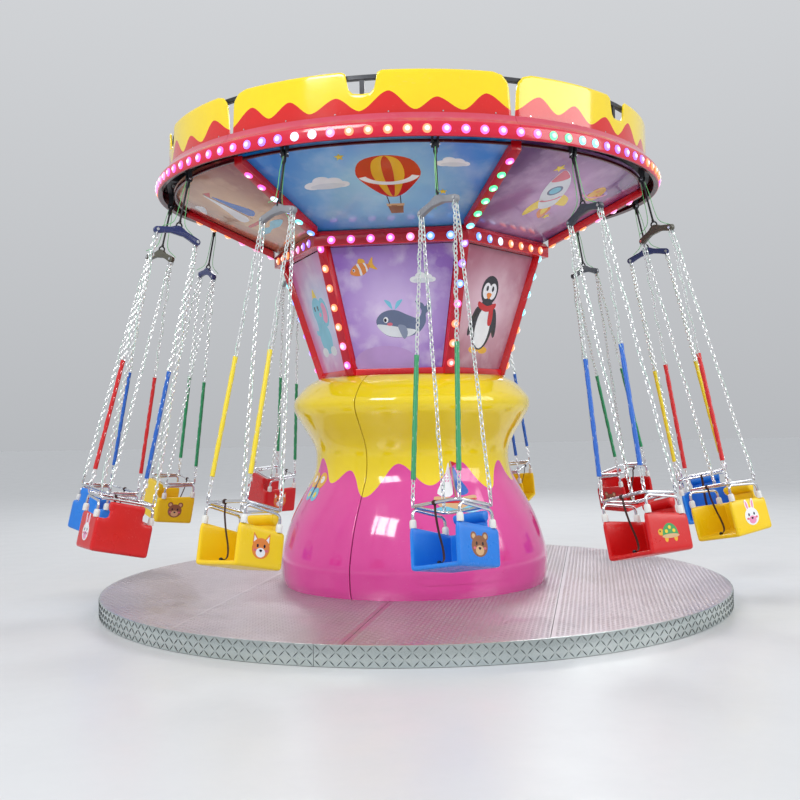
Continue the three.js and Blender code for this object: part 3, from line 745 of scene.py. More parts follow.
WIRE_PALE = Finish("pale_sheath", hue("badecc"), hue("d0eadc"), **SHEATH)
INK = PrintedInk("printed_ink", (0.5, 0.5, 0.5), (0.5, 0.5, 0.5), (0.14, 0.26), 0.03, coat=0.3, scuffs=0.06,
                 dust=0.04)
LAMP = LampGlass("lit_lamp_dome", hue("787880"), hue("686870"), (0.12, 0.2), 0.02, scuffs=0.0, dust=0.0,
                 glow=1.7)
PALE_FLOOR = Finish("pale_floor", hue("d6d8da"), hue("ced0d2"), (0.3, 0.4), 0.0, scuffs=0.0, dust=0.0)


class SeatColour(Enum):
    """The three colours of the bucket seats, each with its plastic."""

    BLUE = Finish("seat_plastic_blue", hue("1c80e2"), hue("106cd0"), (0.26, 0.4), scuff_colour=hue("78b0e8"),
                  **PLASTIC)
    RED = Finish("seat_plastic_red", hue("d41618"), hue("bc0c10"), (0.24, 0.38), scuff_colour=hue("e87874"),
                 **PLASTIC)
    YELLOW = Finish("seat_plastic_yellow", hue("f4ce10"), hue("e8bc0a"), (0.26, 0.4),
                    scuff_colour=hue("fae88c"), **PLASTIC)


class SpreaderPaint(Enum):
    """The paints of the spreaders."""

    NAVY = Finish("spreader_navy", hue("303a70"), hue("242c5a"), (0.22, 0.36), scuff_colour=STEEL_SCUFF,
                  **CHIPPED)
    GREY = Finish("spreader_grey", hue("8a8c92"), hue("707278"), (0.3, 0.45), scuff_colour=hue("c8c8cc"),
                  **CHIPPED)
    OLIVE = Finish("spreader_olive", hue("565448"), hue("403e36"), (0.3, 0.45), scuff_colour=STEEL_SCUFF,
                   **CHIPPED)
    SLATE = Finish("spreader_slate", hue("383c46"), hue("2a2c34"), (0.26, 0.4), scuff_colour=STEEL_SCUFF,
                   **CHIPPED)


class SleeveColour(Enum):
    """The colours of the soft sleeves on the chains."""

    GREEN = Finish("sleeve_green", hue("289660"), hue("1e8052"), **SOFT)
    YELLOW = Finish("sleeve_yellow", hue("ecd428"), hue("dcc01e"), **SOFT)
    RED = Finish("sleeve_red", hue("d01e22"), hue("b8141a"), **SOFT)
    BLUE = Finish("sleeve_blue", hue("2668c8"), hue("1c56b2"), **SOFT)


@dataclass(frozen=True)
class Spot:
    """A place for one small repeated shape, what it faces and lies along, and its lamp colour."""

    at: Vector
    aim: Vector
    along: Vector
    colour: Colour = (1, 1, 1)


@dataclass(frozen=True)
class Pattern:
    """A Geometry Nodes tree that sets one small shape on every point, or along every line, of a mesh."""

    name: str
    sizes: dict[str, float]
    element: Callable[[Graph, Given], Socket]
    pitch: str = ""

    def tree(self) -> bpy.types.NodeTree:
        """Builds the tree, with the sizes and the finish as its inputs, or returns it where it is built.

        Returns:
            The tree.
        """
        if self.name in bpy.data.node_groups:
            return bpy.data.node_groups[self.name]
        tree = bpy.data.node_groups.new(self.name, "GeometryNodeTree")
        for label, kind in (("Geometry", "Geometry"), *((size, "Float") for size in self.sizes),
                            ("Finish", "Material")):
            tree.interface.new_socket(name=label, in_out="INPUT", socket_type=f"NodeSocket{kind}")
        tree.interface.new_socket(name="Geometry", in_out="OUTPUT", socket_type="NodeSocketGeometry")
        graph = Graph(tree)
        entry = graph.add("NodeGroupInput")
        given = {label: entry.outputs[label] for label in self.sizes}
        shape = self.element(graph, given)
        if self.pitch:
            points, turn = self.link_places(graph, entry.outputs["Geometry"], given[self.pitch])
        else:
            points, turn = entry.outputs["Geometry"], self.facing(graph)
        placed = graph.result("GeometryNodeInstanceOnPoints",
                              {"Points": points, "Instance": shape, "Rotation": turn})
        real = graph.result("GeometryNodeRealizeInstances", {"Geometry": placed})
        graph.add("NodeGroupOutput", {0: graph.result(
            "GeometryNodeSetMaterial", {"Geometry": real, "Material": entry.outputs["Finish"]})})
        return tree

    @staticmethod
    def facing(graph: Graph) -> Socket:
        """Returns the rotation that turns a shape to its point's two directions."""
        turn = None
        for label, axis, pivot in (("aim", "Z", "AUTO"), ("along", "X", "Z")):
            vector = graph.result("GeometryNodeInputNamedAttribute", {"Name": label},
                                  data_type="FLOAT_VECTOR")
            inputs = {"Vector": vector} | ({"Rotation": turn} if turn else {})
            turn = graph.result("FunctionNodeAlignRotationToVector", inputs, axis=axis, pivot_axis=pivot)
        return turn

    @staticmethod
    def link_places(graph: Graph, lines: Socket, pitch: Socket) -> tuple[Socket, Socket]:
        """Spaces points along lines, and turns every second one by a quarter.

        Args:
            graph: The tree's graph.
            lines: The mesh whose edges are the lines.
            pitch: The distance between points.

        Returns:
            The points and their rotation.
        """
        curve = graph.result("GeometryNodeMeshToCurve", {0: lines})
        spaced = graph.add("GeometryNodeResampleCurve", {"Curve": curve})
        if hasattr(spaced, "mode"):
            spaced.mode = "LENGTH"
        graph.feed(spaced.inputs["Length"], pitch)
        tangent = graph.result("GeometryNodeInputTangent")
        base = graph.result("FunctionNodeAlignRotationToVector", {"Vector": tangent}, axis="X")
        quarter = graph.times(graph.result("GeometryNodeInputIndex"), math.pi / 2)
        spin = graph.result("FunctionNodeAxisAngleToRotation", {"Axis": (1, 0, 0), "Angle": quarter})
        turn = graph.result("FunctionNodeRotateRotation", {"Rotation": base, "Rotate By": spin},
                            rotation_space="LOCAL")
        return spaced.outputs[0], turn

    def grow(self, source: Mesh, finish: Finish, smooth: float) -> Mesh:
        """Runs the tree on a mesh.

        Args:
            source: The mesh of points or lines.
            finish: The finish of the small shapes.
            smooth: The angle, in degrees, past which an edge stays sharp.

        Returns:
            The plain mesh of all the small shapes.
        """
        carrier = link_object(source.name, source)
        modifier = carrier.modifiers.new(self.name, "NODES")
        modifier.node_group = self.tree()
        values: dict[str, object] = {**self.sizes, "Finish": finish.material()}
        for socket in modifier.node_group.interface.items_tree:
            if socket.item_type == "SOCKET" and socket.in_out == "INPUT" and socket.name in values:
                modifier[socket.identifier] = values[socket.name]
        data = evaluated_mesh(carrier)
        for label in ("aim", "along"):
            if label in data.attributes:
                data.attributes.remove(data.attributes[label])
        return shaded(data, smooth)

    def on_spots(self, name: str, spots: Sequence[Spot], finish: Finish, smooth: float = 35.0) -> Mesh:
        """Sets the small shape on each spot, and returns the mesh of all of them."""
        source = bpy.data.meshes.new(name)
        source.from_pydata([spot.at for spot in spots], [], [])
        for label in ("aim", "along"):
            layer = source.attributes.new(label, "FLOAT_VECTOR", "POINT")
            values = np.array([getattr(spot, label) for spot in spots], np.float32)
            layer.data.foreach_set("vector", values.ravel())
        layer = source.attributes.new("lamp_colour", "FLOAT_COLOR", "POINT")
        layer.data.foreach_set("color", np.array([(*spot.colour, 1) for spot in spots], np.float32).ravel())
        return self.grow(source, finish, smooth)

    def on_lines(self, name: str, lines: Sequence[tuple[Vector, Vector]], finish: Finish) -> Mesh:
        """Sets the small shape along each straight line, and returns the mesh of all of them."""
        source = bpy.data.meshes.new(name)
        edges = [(2 * i, 2 * i + 1) for i in range(len(lines))]
        source.from_pydata([end for line in lines for end in line], edges, [])
        return self.grow(source, finish, 50.0)


def joined(graph: Graph, *parts: Socket) -> Socket:
    """Joins geometry."""
    both = graph.add("GeometryNodeJoinGeometry")
    for part in parts:
        graph.tree.links.new(part, both.inputs[0])
    return both.outputs[0]


def lozenge(graph: Graph, given: Given) -> Socket:
    """Wires one raised lozenge of tread plate, a low four-sided frustum drawn out lengthwise."""
    cone = graph.result("GeometryNodeMeshCone",
                        {"Vertices": 4, "Radius Top": 0.62, "Radius Bottom": 1.0, "Depth": 1.0})
    size = graph.result("ShaderNodeCombineXYZ",
                        {0: given["Half Length"], 1: given["Half Width"], 2: given["Rise"]})
    return graph.result("GeometryNodeTransform", {"Geometry": cone, "Scale": size})


def lamp_dome(graph: Graph, given: Given) -> Socket:
    """Wires one lamp: a dome that keeps its height share, on a flat lens ring."""
    radius = given["Radius"]
    ball = graph.result("GeometryNodeMeshUVSphere", {"Segments": 12, "Rings": 6, "Radius": radius})
    height = graph.add("ShaderNodeSeparateXYZ", {0: graph.result("GeometryNodeInputPosition")}).outputs[2]
    core = graph.result("ShaderNodeMath", {0: height, 1: radius}, operation="DIVIDE")
    marked = graph.add("GeometryNodeStoreNamedAttribute", {"Geometry": ball, "Name": "core"},
                       data_type="FLOAT", domain="POINT")
    graph.feed(marked.inputs["Value"], core)
    dome = graph.result("GeometryNodeTransform", {"Geometry": marked.outputs[0], "Scale": (1.0, 1.0, 0.8)})
    lens = graph.result("GeometryNodeMeshCylinder",
                        {"Vertices": 16, "Radius": graph.times(radius, 1.28), "Depth": given["Lens"]})
    return joined(graph, dome, lens)


def bolt_head(graph: Graph, given: Given) -> Socket:
    """Wires one bolt head on its washer."""
    radius, height = given["Radius"], given["Height"]
    head = graph.result("GeometryNodeMeshCylinder", {"Vertices": 6, "Radius": radius, "Depth": height})
    lifted = graph.result("ShaderNodeCombineXYZ", {2: graph.times(height, 0.5)})
    raised = graph.result("GeometryNodeTransform", {"Geometry": head, "Translation": lifted})
    washer = graph.result("GeometryNodeMeshCylinder", {
        "Vertices": 14, "Radius": graph.times(radius, 1.5), "Depth": graph.times(height, 0.4)})
    return joined(graph, raised, washer)


def chain_link(graph: Graph, given: Given) -> Socket:
    """Wires one chain link: a rectangle with its corners cut, swept by a thin wire."""
    width = given["Link Width"]
    box = graph.result("GeometryNodeCurvePrimitiveQuadrilateral",
                       {"Width": given["Link Length"], "Height": width})
    bent = graph.add("GeometryNodeFilletCurve", {"Curve": box, "Radius": graph.times(width, 0.46)})
    if hasattr(bent, "mode"):
        bent.mode = "POLY"
    wire = graph.result("GeometryNodeCurvePrimitiveCircle", {"Resolution": 4, "Radius": given["Wire Radius"]})
    return graph.result("GeometryNodeCurveToMesh", {"Curve": bent.outputs[0], "Profile Curve": wire})


BAND_LOZENGES = Pattern("band_lozenges", {"Half Length": 0.0240, "Half Width": 0.0032, "Rise": 0.0026},
                        lozenge)
DECK_LOZENGES = Pattern("deck_lozenges", {"Half Length": 0.0145, "Half Width": 0.0046, "Rise": 0.0016},
                        lozenge)
LAMPS = Pattern("lamp_domes", {"Radius": 0.0185, "Lens": 0.008}, lamp_dome)
BOLTS = Pattern("bolt_heads", {"Radius": 0.0065, "Height": 0.006}, bolt_head)
SCREWS = Pattern("screw_heads", {"Radius": 0.0042, "Height": 0.003}, bolt_head)
LINKS = Pattern("chain_links", {"Link Length": 0.0320, "Link Width": 0.0180, "Wire Radius": 0.0033,
                                "Pitch": 0.0250}, chain_link, pitch="Pitch")


def radial_place(bearing: float) -> Surface:
    """Returns the placing of a plate on a bearing, drawn by radius, height and distance off it."""
    out = at_bearing(1, bearing, 0)
    return lambda radius, height, off: out * radius + aside(out) * off + UP * height


Motif = list[tuple[list[Flat], Colour]]


def places(*numbers: float) -> list[Flat]:
    """Pairs up hundredths into the places of an outline with straight edges."""
    return [(x / 100, y / 100) for x, y in zip(numbers[::2], numbers[1::2])]


def blob(*numbers: float, twin: bool = False) -> list[Flat]:
    """Draws a closed smooth line through places, and through their mirror images where it is a twin."""
    spots = places(*numbers)
    if twin:
        spots += [(-x, y) for x, y in reversed(spots) if x]
    line = smooth_line(spots[-2:] + spots + spots[:2], 4)
    return [(point[0], point[1]) for point in line[8:(2 + len(spots)) * 4]]


def oval(x: float, y: float, across: float, tall: float, lean: float = 0.0,
         span: Flat = (0.0, 360.0), steps: int = 26) -> list[Flat]:
    """Draws an ellipse, or the part of one between two angles.

    Args:
        x: Its middle, in hundredths like the next three.
        y: Its middle's height.
        across: Half its width.
        tall: Half its height.
        lean: Its lean in degrees.
        span: The angles that it starts and stops at.
        steps: Stretches round it.

    Returns:
        The outline.
    """
    cos, sin = math.cos(math.radians(lean)), math.sin(math.radians(lean))
    whole = span[1] - span[0] >= 360
    line = []
    for a in np.radians(np.linspace(*span, steps + 1)[:steps if whole else steps + 1]):
        u, v = across / 100 * math.cos(a), tall / 100 * math.sin(a)
        line.append((x / 100 + u * cos - v * sin, y / 100 + u * sin + v * cos))
    return line


def star(size: float = 1.0) -> list[Flat]:
    """Draws a star with five points and straight edges."""
    reaches = [(size * (0.45 if i % 2 else 1.0), math.radians(90 + i * 36)) for i in range(10)]
    return [(reach * math.cos(angle), reach * math.sin(angle)) for reach, angle in reaches]


def hoop(y: float, inner: float, outer: float, span: Flat, flat: float = 1.0,
         lean: float = 0.0) -> list[Flat]:
    """Draws a part of a flattened ring between two angles."""
    far = oval(0, y, outer, outer * flat, lean, span, 18)
    return far + oval(0, y, inner, inner * flat, lean, span, 18)[::-1]


class Motifs:
    """Plain picture-book motifs of the ride's own, each a list of filled outlines from back to front."""

    WHITE = hue("f4f6fa")
    PALE = hue("e2e8f0")
    BLACK = hue("22202c")
    NAVY = hue("28386e")
    RED = hue("ce1c22")
    ROSE = hue("e26e82")
    PINK = hue("f096be")
    ORANGE = hue("ec8c3c")
    AMBER = hue("f0b432")
    YELLOW = hue("f6d63c")
    SAND = hue("deb484")
    BROWN = hue("966242")
    GREEN = hue("46a45c")
    AQUA = hue("78c8e2")
    BLUE = hue("2868c4")
    SLATE = hue("627092")
    STEEL = hue("8894b0")
    LILAC = hue("ba96d4")

    @classmethod
    def small_star(cls) -> Motif:
        """Draws a yellow star."""
        return [(star(), cls.YELLOW)]

    @classmethod
    def mound(cls) -> Motif:
        """Draws a low lilac mound."""
        return [(oval(0, 0, 100, 52), cls.LILAC)]

    @classmethod
    def cloud(cls) -> Motif:
        """Draws a cloud of soft round heaps."""
        heaps = ((-62, -8, 42, 26), (-18, 14, 44, 36), (34, 6, 42, 32), (72, -10, 32, 20))
        return [(oval(*heap), cls.WHITE) for heap in heaps] + [(oval(4, -16, 80, 20), cls.PALE)]

    @classmethod
    def balloon(cls) -> Motif:
        """Draws a striped hot-air balloon with its basket."""
        shapes = [
            (blob(0, 100, 50, 86, 66, 45, 50, 8, 16, -32, twin=True), cls.RED),
            (blob(0, 98.5, 26, 84, 33, 45, 24, 5, 9, -31, twin=True), cls.AMBER),
            (blob(0, 98, 9, 80, 11, 45, 8, 5, 3, -30, twin=True), cls.RED),
            (hoop(46, 50, 66, (200, 340), 0.62), cls.WHITE)]
        for side in (-1, 1):
            rope = places(side * 13, -32, side * 15, -32, side * 12.5, -66, side * 10.5, -66)
            shapes.append((rope, cls.BLACK))
        shapes.append((places(-17, -62, 17, -62, 13, -94, -13, -94), cls.BROWN))
        shapes.append((places(-19, -60, 19, -60, 18, -68, -18, -68), cls.SAND))
        return shapes

    @classmethod
    def rocket(cls) -> Motif:
        """Draws a round rocket with fins, a porthole and a flame."""
        return [
            (blob(0, -100, 16, -72, 10, -50, twin=True), cls.ORANGE),
            (blob(0, -84, 8, -68, 5, -52, twin=True), cls.YELLOW),
            (blob(20, -5, 50, -34, 52, -66, 24, -50, 12, -40), cls.YELLOW),
            (blob(-20, -5, -50, -34, -52, -66, -24, -50, -12, -40), cls.YELLOW),
            (blob(0, 100, 20, 70, 31, 20, 24, -36, 12, -54, twin=True), cls.PALE),
            (blob(0, 100, 13, 82, 20, 62, 0, 56, twin=True), cls.ROSE),
            (oval(0, 18, 18, 18), cls.SLATE),
            (oval(0, 18, 13, 13), cls.AQUA),
            (hoop(-10, 22, 30, (200, 340), 0.5), cls.ROSE)]

    @classmethod
    def planet(cls) -> Motif:
        """Draws a ringed planet."""
        return [(hoop(0, 72, 100, (0, 180), 0.3, 18), cls.LILAC), (oval(0, 0, 56, 56), cls.AMBER),
                (oval(-16, 20, 16, 10, 20), cls.ORANGE), (oval(20, -12, 20, 12, 10), cls.ORANGE),
                (hoop(0, 72, 100, (180, 360), 0.3, 18), cls.PINK)]

    @classmethod
    def moon(cls) -> Motif:
        """Draws a crescent moon with a cheek and an eye."""
        outer, inner = oval(0, 0, 90, 90, 0, (60, 300), 26), oval(34, 0, 78, 78, 0, (84, 276), 22)
        return [(outer + inner[::-1], cls.YELLOW), (oval(-56, 22, 6, 9), cls.BLACK),
                (oval(-60, -10, 12, 8), cls.ORANGE)]

    @classmethod
    def sailboat(cls) -> Motif:
        """Draws a sailing boat on two waves."""
        return [
            (places(-3, -40, 3, -40, 3, 96, -3, 96), cls.BROWN),
            (blob(-8, 90, -30, 40, -72, -24, -10, -28), cls.WHITE),
            (blob(10, 74, 36, 30, 60, -22, 10, -26), cls.BLUE),
            (places(3, 96, 34, 86, 3, 76), cls.RED),
            (blob(-86, -36, 0, -42, 86, -36, 60, -78, 0, -84, -60, -78), cls.SAND),
            (blob(-80, -46, 0, -52, 80, -46, 76, -55, 0, -62, -76, -55), cls.RED),
            (blob(-100, -84, -50, -72, 0, -84, 50, -72, 100, -84, 50, -98, 0, -94, -50, -98), cls.AQUA)]

    @classmethod
    def whale(cls) -> Motif:
        """Draws a whale with a pale belly, a raised tail and a spout."""
        return [
            (blob(-30, 44, -38, 74, -60, 84, -52, 68, -36, 50, -26, 44), cls.AQUA),
            (blob(-24, 44, -16, 74, 6, 84, -2, 68, -18, 50, -28, 44), cls.AQUA),
            (blob(-94, 0, -72, 36, -24, 46, 24, 26, 60, 14, 74, 42, 52, 76, 78, 68, 88, 56, 102, 74, 108, 46,
                  90, 30, 86, -6, 56, -42, 0, -56, -60, -46), cls.SLATE),
            (blob(-92, -8, -50, -10, 0, -20, 50, -30, 30, -50, -10, -55, -60, -45), cls.PALE),
            (blob(-14, -10, 12, -14, 20, -42, 6, -62, -8, -36), cls.STEEL),
            (oval(-58, 10, 9, 11), cls.WHITE),
            (oval(-60, 9, 5, 7), cls.BLACK),
            (oval(-44, -6, 10, 6), cls.ROSE)]

    @classmethod
    def fish(cls) -> Motif:
        """Draws a banded fish."""
        return [
            (blob(46, 2, 98, 50, 84, 2, 98, -46), cls.AMBER),
            (blob(-20, 30, 0, 72, 34, 56, 30, 26), cls.AMBER),
            (blob(-92, 0, -56, 36, 0, 44, 56, 10, 56, -8, 0, -42, -56, -34), cls.ORANGE),
            (blob(-30, 40, -14, 42, -10, 0, -14, -40, -30, -38, -24, 0), cls.WHITE),
            (blob(20, 34, 34, 26, 36, 0, 34, -24, 20, -32, 26, 0), cls.WHITE),
            (oval(-60, 10, 9, 11), cls.WHITE),
            (oval(-62, 10, 5, 7), cls.BLACK)]

    @classmethod
    def penguin(cls) -> Motif:
        """Draws a standing penguin with a red scarf."""
        shapes: Motif = []
        for side in (-1, 1):
            shapes += [(oval(side * 20, -94, 20, 9), cls.AMBER),
                       (oval(side * 46, -24, 11, 38, side * 16), cls.BLACK)]
        shapes += [(oval(0, -30, 44, 64), cls.BLACK), (oval(0, -38, 31, 52), cls.WHITE),
                   (oval(0, 56, 36, 36), cls.BLACK)]
        shapes += [(oval(side * 13, 54, 16, 20), cls.WHITE) for side in (-1, 1)]
        shapes += [(oval(side * 12, 60, 5, 7), cls.BLACK) for side in (-1, 1)]
        shapes += [(blob(-11, 46, 0, 50, 11, 46, 0, 34), cls.ORANGE),
                   (blob(-36, 26, 0, 17, 36, 26, 34, 12, 0, 2, -34, 12), cls.RED),
                   (blob(14, 14, 30, 10, 34, -26, 18, -28), cls.RED)]
        return shapes

    @classmethod
    def elephant(cls) -> Motif:
        """Draws a pale blue elephant that sits under a yellow party hat."""
        return [
            (blob(-16, 70, 2, 102, 20, 70), cls.YELLOW),
            (oval(8, -46, 50, 46), cls.AQUA),
            (oval(-30, -86, 24, 14), cls.PALE),
            (oval(44, -86, 24, 14), cls.PALE),
            (oval(50, 28, 36, 42, -12), cls.AQUA),
            (oval(52, 26, 24, 30, -12), cls.PINK),
            (oval(0, 36, 42, 40), cls.AQUA),
            (blob(-30, 30, -2, 18, -12, -10, -30, -34, -58, -30, -56, -18, -38, -20, -32, -4), cls.AQUA),
            (oval(-20, 44, 5, 8), cls.BLACK),
            (oval(8, 44, 5, 8), cls.BLACK),
            (oval(16, 24, 9, 6), cls.PINK)]

    @classmethod
    def butterfly(cls) -> Motif:
        """Draws a butterfly with spotted wings."""
        shapes: Motif = []
        for side in (-1, 1):
            shapes += [(oval(side * 46, 34, 46, 40, side * 24), cls.AMBER),
                       (oval(side * 34, -36, 34, 34, side * -20), cls.AQUA),
                       (oval(side * 50, 38, 20, 18), cls.WHITE), (oval(side * 36, -38, 14, 14), cls.YELLOW)]
        return shapes + [(oval(0, 0, 8, 56), cls.NAVY)]

    @classmethod
    def rainbow(cls) -> Motif:
        """Draws a rainbow that stands on two small clouds."""
        inks = (cls.RED, cls.ORANGE, cls.YELLOW, cls.GREEN, cls.BLUE)
        shapes = [(hoop(-40, 84 - 10 * i, 94 - 10 * i, (0, 180)), ink) for i, ink in enumerate(inks)]
        for side in (-1, 1):
            for x, y, size in ((50, -42, 20), (76, -36, 24), (98, -44, 18)):
                shapes.append((oval(side * x, y, size, size * 0.8), cls.WHITE))
        return shapes

    @classmethod
    def face(cls, coat: Colour, muzzle: Colour, ear: Callable[[int], list[Flat]],
             inner: Callable[[int], list[Flat]]) -> Motif:
        """Draws an animal's face.

        Args:
            coat: The colour of its coat.
            muzzle: The colour of its muzzle and inner ears.
            ear: Draws the outline of the ear on one side.
            inner: Draws the outline inside that ear.

        Returns:
            The motif.
        """
        shapes = [(ear(side), coat) for side in (-1, 1)] + [(inner(side), muzzle) for side in (-1, 1)]
        shapes += [(oval(0, -10, 72, 66), coat), (oval(0, -36, 38, 30), muzzle),
                   (blob(-13, -20, 0, -16, 13, -20, 0, -34), cls.BLACK)]
        for side in (-1, 1):
            shapes += [(oval(side * 28, 6, 8, 11), cls.BLACK), (oval(side * 46, -22, 12, 8), cls.ROSE)]
        return shapes

    @classmethod
    def bear(cls) -> Motif:
        """Draws a bear's face."""
        return cls.face(cls.BROWN, cls.SAND, lambda side: oval(side * 52, 50, 27, 27),
                        lambda side: oval(side * 52, 50, 15, 15))

    @classmethod
    def rabbit(cls) -> Motif:
        """Draws a rabbit's face."""
        return cls.face(cls.WHITE, cls.PINK, lambda side: oval(side * 30, 78, 17, 46, side * -8),
                        lambda side: oval(side * 30, 78, 9, 34, side * -8))

    @classmethod
    def fox(cls) -> Motif:
        """Draws a fox's face."""
        return cls.face(cls.ORANGE, cls.WHITE,
                        lambda side: places(side * 20, 40, side * 66, 90, side * 70, 16),
                        lambda side: places(side * 34, 42, side * 60, 70, side * 62, 28))

    @classmethod
    def turtle(cls) -> Motif:
        """Draws a turtle from its side."""
        return [*((oval(x, -44, 16, 24), cls.AMBER) for x in (-42, 42)),
                (oval(-84, 0, 24, 22), cls.AMBER),
                (oval(0, -30, 72, 84, 0, (0, 180), 22), cls.GREEN),
                (oval(0, -30, 78, 14), cls.SAND),
                *((oval(x, y, 13, 12), cls.YELLOW) for x, y in ((-34, 2), (0, 26), (34, 2))),
                (oval(-90, 6, 5, 6), cls.BLACK)]


class Artwork:
    """Printed motifs on a surface, each shape a closed and very thin layer that follows the surface."""

    LAYER = 0.00015
    SUNK = 0.00006

    def __init__(self, place: Surface, cell: float) -> None:
        """Keeps the surface.

        Args:
            place: Turns a place across, a place up and a lift off the surface into a point.
            cell: The spacing of the points inside a shape.
        """
        self.place = place
        self.cell = cell
        self.layer = 0
        self.skin = Skin()

    def inner_points(self, outline: Sequence[Flat]) -> list[Flat]:
        """Lists evenly spaced points inside an outline and clear of it."""
        line = np.array(outline)
        after = np.roll(line, -1, axis=0)
        low, high = line.min(axis=0), line.max(axis=0)
        points = []
        for x in np.arange(low[0] + self.cell / 2, high[0], self.cell):
            for y in np.arange(low[1] + self.cell / 2, high[1], self.cell):
                spans = (line[:, 1] > y) != (after[:, 1] > y)
                rise = np.where(spans, after[:, 1] - line[:, 1], 1.0)
                meets = line[:, 0] + (y - line[:, 1]) / rise * (after[:, 0] - line[:, 0])
                inside = np.count_nonzero(spans & (x < meets)) % 2
                if inside and np.hypot(line[:, 0] - x, line[:, 1] - y).min() > self.cell * 0.4:
                    points.append((x, y))
        return points

    def shape(self, outline: Sequence[Flat], ink: Colour) -> None:
        """Prints one filled outline on top of those before it."""
        self.layer += 1
        count = len(outline)
        spots = [Vector(point) for point in [*outline, *self.inner_points(outline)]]
        edges = [(i, (i + 1) % count) for i in range(count)]
        flat, _, triangles, *_ = delaunay_2d_cdt(spots, edges, [], 1, 1e-6)
        lift, depth = self.layer * self.LAYER, -self.SUNK - self.layer * 1e-5
        points = [self.place(spot.x, spot.y, height) for height in (lift, depth) for spot in flat]
        size = len(flat)
        ways = {(tri[i], tri[(i + 1) % 3]) for tri in triangles for i in range(3)}
        faces = [tuple(tri) for tri in triangles]
        faces += [tuple(size + i for i in reversed(tri)) for tri in triangles]
        faces += [(b, a, size + a, size + b) for a, b in ways if (b, a) not in ways]
        self.skin.add(points, faces, [0] * len(faces), ink)

    def motif(self, motif: Motif, middle: Flat, size: float, lean: float = 0.0) -> None:
        """Prints a motif.

        Args:
            motif: The motif.
            middle: Where its middle goes, across and up.
            size: The length of its unit.
            lean: Its lean in degrees.
        """
        cos, sin = size * math.cos(math.radians(lean)), size * math.sin(math.radians(lean))
        for outline, ink in motif:
            self.shape([(middle[0] + x * cos - y * sin, middle[1] + x * sin + y * cos)
                        for x, y in outline], ink)

    def motifs(self, rows: Sequence[tuple]) -> None:
        """Prints rows of a motif's function, its middle and its unit in hundredths, and its lean."""
        for draw, x, y, size, *lean in rows:
            self.motif(draw(), (x / 100, y / 100), size / 100, *lean)

    def install_print(self, piece: str, label: str, slot: str = "printed_board") -> None:
        """Puts all the prints into the scene as one piece of the stand."""
        install(piece, self.skin.mesh(label, [INK]), "stand", slot)


